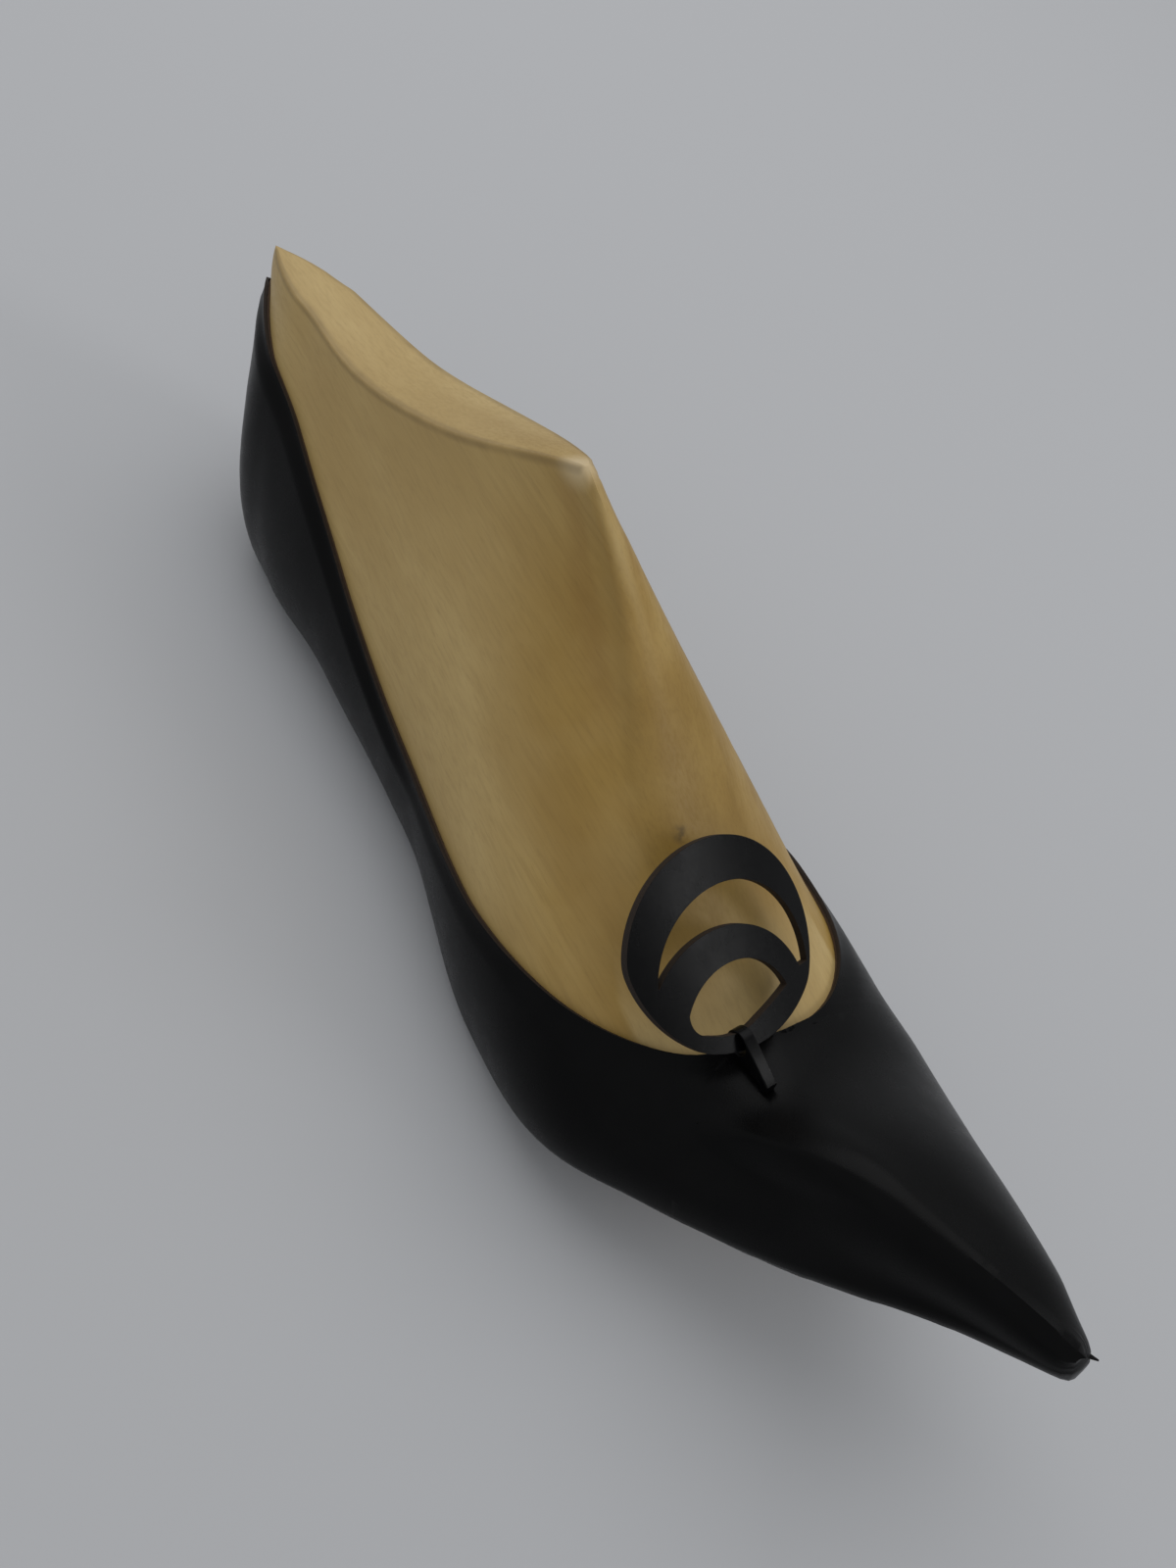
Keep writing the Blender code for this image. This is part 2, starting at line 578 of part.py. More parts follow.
# the ornament's hinge: its bar lies over the strap, which lies on the vamp behind the throat
bar_reach = math.hypot(RING_BAR, RING_THICKNESS) / 2
loop_radius = bar_reach + CLEARANCE + KEEPER_THICKNESS / 2
hinge_height = loop_radius + KEEPER_THICKNESS / 2 + CLEARANCE


def under_strap(x):
    """The highest place that the strap's width meets on the vamp at x."""
    heights = [on_skin(x, HINGE_Y + k * KEEPER_WIDTH / 2)[0].z for k in (-1, 0, 1)]
    return Vector((x, HINGE_Y, max(heights)))


near, slot = under_strap(HINGE_X - loop_radius), under_strap(HINGE_X + KEEPER_REACH)
forward = (slot - near).normalized()
away = Vector((-forward.z, 0, forward.x))
pivot = near + forward * (HINGE_X - near.x) / forward.x + away * hinge_height

hinge = bpy.data.objects.new("ornament_hinge", None)
bpy.context.scene.collection.objects.link(hinge)
hinge.parent = rest
hinge.location = pivot * MM


def ribbon(path, thickness, width):
    """A strap of even thickness that follows a flat path of (x, z) points, pulled out across Y."""
    points = [Vector(p) for p in path]
    left, right = [], []
    for i, p in enumerate(points):
        back = (p - points[i - 1]).normalized() if i else (points[1] - p).normalized()
        ahead = (points[i + 1] - p).normalized() if i + 1 < len(points) else back
        side = Vector((-(back.y + ahead.y), back.x + ahead.x)).normalized()
        side *= thickness / 2 / max(side.dot(Vector((-ahead.y, ahead.x))), 0.5)
        left.append(p + side)
        right.append(p - side)
    return prism([tuple(p) for p in left + right[::-1]], width)


# the strap runs from its slot in the vamp back under the bar, over it and straight down to the slot
step = (KEEPER_THICKNESS + CLEARANCE) / 2
tail = -hinge_height - 0.5 * UPPER_THICKNESS
slot_reach = (slot - pivot).dot(forward)
corner = Vector((slot_reach + step, 2 * step - loop_radius))
leaves = math.degrees(math.atan2(corner.y, corner.x) + math.acos(loop_radius / corner.length))
turns = [(loop_radius * math.cos(a), loop_radius * math.sin(a)) for a in np.radians(np.linspace(270, leaves, 13))]
path = [(slot_reach - step, tail), (slot_reach - step, -loop_radius), *turns, tuple(corner), (corner.x, tail)]
to_world = [forward * a + away * b for a, b in path]
keeper = solid("keeper_strap", ribbon([(p.x, p.z) for p in to_world], KEEPER_THICKNESS, KEEPER_WIDTH),
               LEATHER, rest)
keeper.location = pivot * MM
slot_box = bmesh.new()
bmesh.ops.create_cube(slot_box, size=1)
bmesh.ops.scale(slot_box, vec=(2 * KEEPER_THICKNESS + 3 * CLEARANCE, KEEPER_WIDTH + 2 * CLEARANCE,
                               2 * UPPER_THICKNESS + CLEARANCE), verts=slot_box.verts)
cut(upper, solid("slot_cutter", stood(slot_box, slot, away), parent=rest))


def leave_circle(start, direction, circle):
    """How far a line from inside a circle runs before it leaves it."""
    offset = start - Vector(circle[:2])
    run = offset.dot(direction)
    return -run + math.sqrt(run * run - offset.length_squared + circle[2] ** 2)


def crossings(circle, other):
    """Where one circle crosses another, as angles round the first."""
    gap = Vector(other[:2]) - Vector(circle[:2])
    middle = math.atan2(gap.y, gap.x)
    spread = math.acos((gap.length_squared + circle[2] ** 2 - other[2] ** 2) / (2 * gap.length * circle[2]))
    return middle - spread, middle + spread


def arc(circle, start, end, steps):
    return [Vector((circle[0] + circle[2] * math.cos(a), circle[1] + circle[2] * math.sin(a)))
            for a in np.linspace(start, end, steps)]


def toward(circle, point):
    return math.atan2(point[1] - circle[1], point[0] - circle[0])


# the ornament's outline: its two discs together, with a rounded foot
centre = (Vector(INNER_CIRCLE[:2]) + Vector(OUTER_CIRCLE[:2])) / 2
outline = []
for angle in np.linspace(0, math.tau, 52, endpoint=False):
    line = Vector((math.cos(angle), math.sin(angle)))
    discs = max(leave_circle(centre, line, OUTER_CIRCLE), leave_circle(centre, line, INNER_CIRCLE))
    outline.append(centre + line * min(discs, leave_circle(centre, line, BASE_CIRCLE)))
# the crescent-shaped hole between the two rings, with a blunt end where they run together
foot = math.asin((CRESCENT_FOOT - CRESCENT_CIRCLE[1]) / CRESCENT_CIRCLE[2])
notch = arc(CRESCENT_CIRCLE, crossings(CRESCENT_CIRCLE, INNER_CIRCLE)[0] + math.tau, 0, 1)[0]
crescent = arc(CRESCENT_CIRCLE, foot, toward(CRESCENT_CIRCLE, notch) % math.tau, 22)
crescent += arc(INNER_CIRCLE, toward(INNER_CIRCLE, notch),
                math.asin((CRESCENT_FOOT - INNER_CIRCLE[1]) / INNER_CIRCLE[2]), 15)[1:]
# the round eye, with a flatter floor over the bar
right, left = crossings(EYE_CIRCLE, FLOOR_CIRCLE)
eye = arc(EYE_CIRCLE, right, left, 20)
eye += arc(FLOOR_CIRCLE, toward(FLOOR_CIRCLE, eye[-1]), toward(FLOOR_CIRCLE, eye[0]), 10)[1:-1]
ring_bm = bmesh.new()
edges = []
for loop in (outline, crescent, eye):
    made = [ring_bm.verts.new((-RING_THICKNESS / 2, p.x, p.y)) for p in loop]
    edges += [ring_bm.edges.new(pair) for pair in zip(made, made[1:] + made[:1])]
bmesh.ops.triangle_fill(ring_bm, edges=edges, use_beauty=True, normal=(1, 0, 0))
pulled = bmesh.ops.extrude_face_region(ring_bm, geom=ring_bm.faces[:])
bmesh.ops.translate(ring_bm, vec=(RING_THICKNESS, 0, 0),
                    verts=[v for v in pulled["geom"] if isinstance(v, bmesh.types.BMVert)])
bmesh.ops.recalc_face_normals(ring_bm, faces=ring_bm.faces)
ring = solid("ring_ornament", ring_bm, LEATHER, hinge)
ring.rotation_euler = (0, -math.radians(RING_LEAN), 0)

# tip it all back until it rests on the back of the heel and both sides of the ball
bpy.context.view_layer.update()
graph = bpy.context.evaluated_depsgraph_get()


def world_points(obj):
    seen = obj.evaluated_get(graph)
    return np.array([seen.matrix_world @ v.co for v in seen.to_mesh().vertices])


touching = np.vstack([world_points(obj) for obj in (upper, last_body)])
heel = touching[touching[:, 0] < 0.06]
inner_ball = touching[(touching[:, 0] > 0.1) & (touching[:, 1] < -0.01)]
outer_ball = touching[(touching[:, 0] > 0.1) & (touching[:, 1] > 0.01)]
up = np.array([0.4, 0.0, 0.9])
for _ in range(12):
    low_points = [group[np.argmin(group @ up)] for group in (heel, inner_ball, outer_ball)]
    up = np.cross(low_points[1] - low_points[0], low_points[2] - low_points[0])
    up /= np.linalg.norm(up)
rest.rotation_mode = "QUATERNION"
rest.rotation_quaternion = Vector(up).rotation_difference(Vector((0, 0, 1)))
bpy.context.view_layer.update()
graph = bpy.context.evaluated_depsgraph_get()
points = np.vstack([world_points(obj) for obj in bpy.data.objects if obj.type == "MESH" and not obj.hide_render])
rest.location = (*(-(points.max(axis=0) + points.min(axis=0))[:2] / 2), -points[:, 2].min())
bpy.context.view_layer.update()
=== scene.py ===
# A wooden last with a pump upper lasted over it. Lengths in the settings are millimetres in the
# last's own frame: X heel to toe, Y across the foot, Z up from the tread.
import math

import bmesh
import bpy
import numpy as np
from mathutils import Matrix, Vector


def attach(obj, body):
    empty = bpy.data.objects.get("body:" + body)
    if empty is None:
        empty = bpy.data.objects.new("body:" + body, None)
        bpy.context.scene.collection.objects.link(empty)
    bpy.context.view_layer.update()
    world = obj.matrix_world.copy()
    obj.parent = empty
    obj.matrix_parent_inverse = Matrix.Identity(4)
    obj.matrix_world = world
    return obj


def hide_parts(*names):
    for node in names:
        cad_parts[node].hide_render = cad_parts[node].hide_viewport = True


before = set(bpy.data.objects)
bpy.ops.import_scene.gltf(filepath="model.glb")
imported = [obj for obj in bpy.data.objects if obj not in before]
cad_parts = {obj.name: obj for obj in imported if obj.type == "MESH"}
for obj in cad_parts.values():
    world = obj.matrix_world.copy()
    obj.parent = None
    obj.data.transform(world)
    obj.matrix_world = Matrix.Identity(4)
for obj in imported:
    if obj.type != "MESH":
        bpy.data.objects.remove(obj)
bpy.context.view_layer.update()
print("frame loaded")

mm = 0.001
# how the last lies in the frame: tipped back on its heel
restPose = Matrix.Translation((-0.08322798, -0.00168101, -0.05726866)) @ Matrix((
    (0.90749091, -0.00010656, -0.42007172, 0),
    (-0.00010656, 0.99999988, -0.00048389, 0),
    (0.42007172, 0.00048389, 0.90749079, 0),
    (0, 0, 0, 1)))
toFrame = restPose @ Matrix.Scale(mm, 4)

last = {
    "seatHeight": 66.5, "seatPitch": 0.29, "seatLength": 42.0,
    "insole": 2.3,  # the wood starts above the insole board
    "tipEase": 1.5,  # and stops this much short of the leather's tip
    # share of the way, inner and outer feather edge, crest line, half its width, its rounding
    "stations": (
        (0.00, (0.0, 0.0), (0.0, 0.0), (5.0, -2.5, 147), 4.2, 0),
        (0.05, (3.4, -14.0), (4.0, 14.0), (15.0, -1.0, 143), 4.0, 0),
        (0.12, (18.0, -19.0), (18.0, 23.5), (16.5, 0.0, 139), 4.4, 2),
        (0.25, (50.0, -21.0), (48.0, 26.5), (38.0, 1.0, 135), 6.2, 4),
        (0.40, (89.0, -24.0), (83.0, 25.7), (76.0, 2.5, 139), 5.5, 7),
        (0.54, (129.0, -34.5), (118.6, 33.0), (113.0, 1.0, 124.5), 1.6, 11),
        (0.68, (165.5, -36.8), (158.0, 41.3), (164.5, -6.5, 50.5), 0.6, 20),
        (0.79, (194.5, -24.4), (194.4, 32.5), (187.0, -15.5, 28.5), 0.5, 12),
        (0.90, (222.0, -14.8), (228.0, 14.7), (220.0, -10.2, 29.6), 0.0, 2),
        (1.00, (255.5, -0.5), (255.5, -0.5), (255.5, -0.5, 19.9), 0.0, 0)),
    # inner and outer wall at each station: swell and its height, low and high
    "walls": (
        ((8.9, 0.32, 9.0, 0.26), (8.9, 0.32, 9.0, 0.26)),
        ((9.7, 0.31, 3.2, 0.28), (9.0, 0.30, 5.2, 0.31)),
        ((8.1, 0.28, 3.6, 0.30), (8.0, 0.30, 4.8, 0.32)),
        ((8.3, 0.28, 1.6, 0.32), (8.0, 0.30, 5.1, 0.33)),
        ((10.8, 0.41, -6.7, 0.30), (7.9, 0.36, 6.0, 0.29)),
        ((9.5, 0.43, -13.4, 0.21), (6.8, 0.36, 8.2, 0.20)),
        ((5.8, 0.40, 6.2, 0.11), (5.5, 0.45, 27.8, 0.02)),
        ((2.2, 0.48, 0.0, 0.31), (5.0, 0.43, 32.4, -0.01)),
        ((-3.9, 0.36, 4.7, 0.43), (4.0, 0.41, 17.6, 0.07)),
        ((0.0, 0.33, 0.0, 0.33), (0.0, 0.33, 0.0, 0.33))),
    # which way the walls face there, in degrees from straight back
    "facing": (0, 50, 88, 90, 90, 90, 90, 90, 90, 90),
    # the bottom from the waist on, and the sanded top: how far along, and how high
    "bottom": ((56.0, 46.7), (85.0, 31.1), (120.0, 9.9), (150.0, 3.7), (172.0, 3.9),
               (200.0, 4.51), (232.0, 11.935), (255.5, 17.2)),
    "scoop": ((-8.0, 136.4), (2.0, 133.4), (12.0, 129.4), (40.0, 119.356), (70.0, 117.0),
              (97.0, 119.5), (130.0, 125.0)),
    "scoopEdge": 0.6, "crown": 0.5, "crownWidth": 14,
    # the back of the heel stands out: how far, between which heights, and up to which column
    "heelBack": (-2.2, -1.2), "heelRise": (55, 50), "heelTop": (137, 8), "heelEnds": (0.16, 0.04),
    "instepSwell": 1.6, "instepAt": (0.6, 0.055),  # a swelling of the crest, and its columns
    # how far the nose reaches on, how far its crest and foot droop, and where that starts
    "tip": (3.9, -2.0), "tipFoot": -0.5, "noseFrom": 0.93, "noseLong": 0.07,
    "columns": (0, .012, .028, .05, .08, .12, .165, .21, .255, .30, .345, .39, .43, .47, .505, .54,
                .575, .61, .645, .68, .715, .75, .79, .825, .86, .90, .93, .96, .985, 1),
    "fineness": 5,  # columns in each of those steps
    "curvePoints": 60, "wallPoints": 48, "crestPoints": 17,
    "sidePoints": 26, "topPoints": 5, "solePoints": 8,
}


def curve(points, at):
    # a smooth curve through (position, value...) points, read at several places
    table = np.asarray(points, float)
    x, y = table[:, 0], table[:, 1:]
    step = np.diff(x)[:, None]
    slope = np.diff(y, axis=0) / step
    tangent = np.empty_like(y)
    tangent[1:-1] = (slope[:-1] * step[1:] + slope[1:] * step[:-1]) / (step[:-1] + step[1:])
    tangent[0] = ((2 * step[0] + step[1]) * slope[0] - step[0] * slope[1]) / (step[0] + step[1])
    tangent[-1] = ((2 * step[-1] + step[-2]) * slope[-1] - step[-1] * slope[-2]) \
        / (step[-1] + step[-2])
    at = np.clip(np.atleast_1d(np.asarray(at, float)), x[0], x[-1])
    k = np.clip(np.searchsorted(x, at, side="right") - 1, 0, len(x) - 2)
    t = ((at - x[k]) / step[k, 0])[:, None]
    return ((1 + 2 * t) * (1 - t) ** 2 * y[k] + t * (1 - t) ** 2 * step[k] * tangent[k]
            + t * t * (3 - 2 * t) * y[k + 1] + t * t * (t - 1) * step[k] * tangent[k + 1])


def bottomHeight(x):
    # the seat is flat, then the waist drops to the tread
    seat = [(p, last["seatHeight"] - last["seatPitch"] * p)
            for p in (-20.0, last["seatLength"] / 2, last["seatLength"])]
    return curve(seat + list(last["bottom"]), x)[:, 0]


def scoopHeight(x):
    # the sanded top
    return curve(last["scoop"], x)[:, 0]


def alongLine(points):
    # how far along a line each of its points is
    return np.concatenate([[0.0], np.cumsum(np.linalg.norm(np.diff(points, axis=0), axis=1))])


def readLine(points, at):
    # the places that are so far along a line
    length = alongLine(points)
    return np.column_stack([np.interp(at, length, points[:, k]) for k in range(3)])


def noseShare(column):
    # nothing behind the nose, and one at its tip
    return max((column - last["noseFrom"]) / last["noseLong"], 0) ** 2


def foot(side, column):
    # the feather edge, where a wall meets the bottom
    x, y = curve([(s[0], *s[1 + side]) for s in last["stations"]], column)[0]
    nose = noseShare(column)
    return np.array([x + last["tip"][0] * nose, y, bottomHeight(x)[0] + last["tipFoot"] * nose])


def heelPush(height, column):
    # how much of the heel's push a point at this height gets
    start, rise = last["heelRise"]
    top, fade = last["heelTop"]
    return np.clip((height - start) / rise, 0, 1) ** 2 \
        * np.sqrt(np.clip((top - height) / fade, 0, 1)) * max(1 - column / last["heelEnds"][0], 0)


def wallLine(side, column):
    # a wall from the feather edge up to where its rounding starts, and its full top
    stations = last["stations"]
    shares = [s[0] for s in stations]
    crest = curve([(s[0], *s[3]) for s in stations], column)[0]
    half, rounding = np.maximum(curve([(s[0], *s[4:]) for s in stations], column)[0], 0)
    swell = curve([(a, *w[side]) for a, w in zip(shares, last["walls"])], column)[0]
    facing = math.radians(min(curve(list(zip(shares, last["facing"])), column)[0, 0], 90.0))
    out = np.array([-math.cos(facing), (2 * side - 1) * math.sin(facing), 0.0])
    if column in (0, 1):
        half *= 1 - column
        out[1] = 0.0
    start = foot(side, column)
    swellAt, swellHalf = last["instepAt"]
    crest[1] += last["instepSwell"] * max(1 - ((column - swellAt) / swellHalf) ** 2, 0)
    crest += np.array([last["tip"][0], 0, last["tip"][1]]) * noseShare(column)
    top = crest + out * half
    rise = np.array([0.0, 0.0, top[2] - start[2]])
    low = start + out * swell[0] + rise * swell[1]
    high = top + out * swell[2] - rise * swell[3]
    t = np.linspace(0, 1, last["curvePoints"])[:, None]
    line = (1 - t) ** 3 * start + 3 * t * (1 - t) ** 2 * low \
        + 3 * t * t * (1 - t) * high + t ** 3 * top
    back = heelPush(line[:, 2], column)
    line[:, 0] += last["heelBack"][0] * back
    beside = max(1 - column / last["heelEnds"][1], 0) if side else 1
    line[:, 1] += last["heelBack"][1] * back * beside
    length = alongLine(line)[-1]
    kept = length - min(rounding, 0.6 * length)
    return readLine(line, np.linspace(0, kept, last["wallPoints"])), line[-1].copy()


def halfSection(column, side):
    # one wall from its feather edge to the middle of the crest
    walls = [wallLine(s, column) for s in (0, 1)]
    apex = (walls[0][1] + walls[1][1]) / 2
    mine, other = walls[side][0], walls[1 - side][0]
    u = np.linspace(0, 0.5, last["crestPoints"])[1:, None]
    return np.vstack([mine, (1 - u) ** 2 * mine[-1] + 2 * u * (1 - u) * apex + u * u * other[-1]])


def crossing(line, height):
    # how far along a line a height first turns positive, or None
    over = np.nonzero(height > 0)[0]
    if not len(over):
        return None
    k, length = over[0], alongLine(line)
    if k == 0:
        return 0.0
    return length[k - 1] + (length[k] - length[k - 1]) * height[k - 1] / (height[k - 1] - height[k])


def eased(count, start=0.0, end=1.0):
    # steps that are closer together near both ends
    t = np.linspace(0, 1, count)
    return start + (end - start) * (0.55 * (1 - np.cos(math.pi * t)) / 2 + 0.45 * t)


def bend(before, corner, after, steps=3):
    # the points that round a corner
    return [(1 - u) ** 2 * before + 2 * u * (1 - u) * corner + u * u * after
            for u in np.linspace(0, 1, steps + 2)[1:-1]]


def skinned(rows, closed=False, marks=None):
    # a grid laid over rows of points; a closed one has its sides joined
    bm = bmesh.new()
    across = len(rows[0]) - (0 if closed else 1)
    bmesh.ops.create_grid(bm, x_segments=across, y_segments=len(rows) - 1, size=0.5)
    layer = bm.verts.layers.float.new("mark")
    for v in bm.verts:
        i = round((v.co.y + 0.5) * (len(rows) - 1))
        j = round((v.co.x + 0.5) * across) % len(rows[0])
        v.co = Vector(rows[i][j])
        v[layer] = marks[i][j] if marks else 0.0
    return bm


def joined(meshes):
    # several meshes in one, loose
    bm = bmesh.new()
    for part in meshes:
        mesh = bpy.data.meshes.new("joining")
        part.to_mesh(mesh)
        part.free()
        bm.from_mesh(mesh)
        bpy.data.meshes.remove(mesh)
    return bm


def cleaned(bm, distance=0.015):
    # points that lie together become one, and every face looks out
    bmesh.ops.remove_doubles(bm, verts=bm.verts, dist=distance)
    bmesh.ops.dissolve_degenerate(bm, edges=bm.edges, dist=distance / 2)
    bmesh.ops.recalc_face_normals(bm, faces=bm.faces)
    bm.normal_update()
    return bm


def finished(name, bm, material, body, slot, *nodes, move=toFrame, flat=35):
    # put a mesh in its place in the frame and let it stand for its CAD nodes
    bmesh.ops.transform(bm, matrix=move, verts=bm.verts)
    mesh = bpy.data.meshes.new(name)
    bm.to_mesh(mesh)
    bm.free()
    mesh.shade_smooth()
    mesh.set_sharp_from_angle(angle=math.radians(flat))
    piece = bpy.data.objects.new(name, mesh)
    bpy.context.scene.collection.objects.link(piece)
    for m in material if isinstance(material, tuple) else (material,):
        mesh.materials.append(m)
    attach(piece, body)
    if nodes:
        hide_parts(*nodes)
    return piece


def softened(piece, width, segments, angle):
    # a small round on every edge that is sharper than the angle
    soft = piece.modifiers.new("softEdges", "BEVEL")
    soft.width = width * mm
    soft.segments = segments
    soft.limit_method = "ANGLE"
    soft.angle_limit = math.radians(angle)


def flatShape(loops, normal):
    # a face between closed loops of points
    bm = bmesh.new()
    edges = []
    for loop in loops:
        made = [bm.verts.new(p) for p in loop]
        edges += [bm.edges.new(pair) for pair in zip(made, made[1:] + made[:1])]
    bmesh.ops.triangle_fill(bm, edges=edges, use_beauty=True, normal=normal)
    return bm


def pulledOut(bm, way):
    # give a flat shape its thickness
    pulled = bmesh.ops.extrude_face_region(bm, geom=bm.faces[:])
    moved = [v for v in pulled["geom"] if isinstance(v, bmesh.types.BMVert)]
    bmesh.ops.translate(bm, vec=way, verts=moved)


# where the sections are taken
columns = []
for a, b in zip(last["columns"], last["columns"][1:]):
    columns += list(np.linspace(a, b, last["fineness"], endpoint=False))
columns.append(1.0)


# materials; every pattern is laid out in the last's own frame, in millimetres
def add(tree, kind, inputs=None, **settings):
    made = tree.nodes.new(kind)
    for key, value in settings.items():
        setattr(made, key, value)
    for key, value in (inputs or {}).items():
        if isinstance(value, bpy.types.NodeSocket):
            tree.links.new(value, made.inputs[key])
        else:
            made.inputs[key].default_value = value
    return made


def newMaterial(name, roughness=0.5, **fixed):
    material = bpy.data.materials.new(name)
    material.use_nodes = True
    tree = material.node_tree
    shader = tree.nodes["Principled BSDF"]
    shader.inputs["Roughness"].default_value = roughness
    for key, value in fixed.items():
        shader.inputs[key.replace("_", " ")].default_value = value
    return material, tree, shader


def lastPlace(tree):
    coordinates = add(tree, "ShaderNodeTexCoord")
    return add(tree, "ShaderNodeMapping", {
        "Vector": coordinates.outputs["Object"], "Location": restPose.to_translation(),
        "Rotation": restPose.to_euler(), "Scale": (mm, mm, mm)}, vector_type="TEXTURE").outputs[0]


def stretched(tree, place, scale):
    return add(tree, "ShaderNodeMapping", {"Vector": place, "Scale": scale}).outputs[0]


def noise(tree, place, scale=1.0, detail=3.0, roughness=0.5, distortion=0.0):
    return add(tree, "ShaderNodeTexNoise", {
        "Vector": place, "Scale": scale, "Detail": detail, "Roughness": roughness,
        "Distortion": distortion}).outputs["Fac"]


def between(tree, value, low, high, start=0.0, end=1.0):
    return add(tree, "ShaderNodeMapRange", {
        "Value": value, "From Min": low, "From Max": high, "To Min": start, "To Max": end},
        interpolation_type="SMOOTHSTEP").outputs[0]


def zone(tree, value, rises, falls):
    # one between the two pairs of limits, and soft towards both
    return times(tree, between(tree, value, *rises), between(tree, value, *falls, 1, 0))


def times(tree, a, b, operation="MULTIPLY"):
    return add(tree, "ShaderNodeMath", {0: a, 1: b}, operation=operation).outputs[0]


def blended(tree, factor, a, b, kind="MIX"):
    made = add(tree, "ShaderNodeMix", {"Factor": factor}, data_type="RGBA", blend_type=kind)
    for socket, value in ((made.inputs[6], a), (made.inputs[7], b)):
        if isinstance(value, bpy.types.NodeSocket):
            tree.links.new(value, socket)
        else:
            socket.default_value = (*value, 1.0)
    return made.outputs[2]


def bumped(tree, shader, height, strength, distance):
    bump = add(tree, "ShaderNodeBump", {
        "Height": height, "Strength": strength, "Distance": distance})
    tree.links.new(bump.outputs[0], shader.inputs["Normal"])


beechFinish = {
    "pale": (0.51, 0.366, 0.15), "deep": (0.42, 0.286, 0.104), "roughness": (0.42, 0.54),
    # the grain: how close its layers lie along and across the wood, and their tints
    "mottle": (0.02, 0.06, 0.06), "ring": (0.008, 0.3, 0.2), "fibre": (0.06, 1.3, 1.3),
    "fleck": (0.28, 2.2, 2.2), "fibreTint": (0.33, 0.225, 0.09), "fleckTint": (0.26, 0.17, 0.065),
    "grainTurn": 5.0,  # degrees, so that it runs level through the tipped last
    # the top corner of the instep ridge, the way out from the ridge, and the way down along it
    "ridgeTop": (108.4, 1.0, 122.8), "ridgeWay": (0.811, 0.0, 0.585),
    "downRidge": (0.585, 0.0, -0.811),
    # tints over the wood, and how far out or down the ridge they start and stop; the browner one
    # back from the ridge is partly painted shade
    "brownAndShade": (0.74, 0.645, 0.36), "brownAndShadeOut": (-36, -7), "brownAndShadeDown": (-5, 32, 0.5, 1.0),
    "clearOut": (1.5, 5), "clearDown": (18, 42, 1, 0), "ends": ((-6, -3, 1, 0), (88, 112, 1, 0)),
    "front": (0.85, 0.83, 0.74), "frontOut": (-4, -0.5), "frontDown": ((38, 54), (80, 104)),
    "streak": (0.93, 0.9, 0.86), "streakDown": ((-1, 5), (40, 56)),
    "streakWide": ((-10, -5.2), (-4.4, -2.2)), "streakFine": ((0.4, 1.6), (1.9, 3.0)),
    # a small dark spot on the wood: where it is, its tint, and its size
    "darkSpot": (152.6, -2.6, 61.9), "darkSpotTint": (0.06, 0.04, 0.02), "darkSpotSize": (0.6, 2.6),
    # a painted highlight on the ridge's top corner: its tint, and the distances where it fades
    "cornerHighlight": (0.64, 0.5, 0.29), "cornerHighlightSize": (2.0, 8),
    "edgeTint": (0.15, 0.095, 0.034),
}


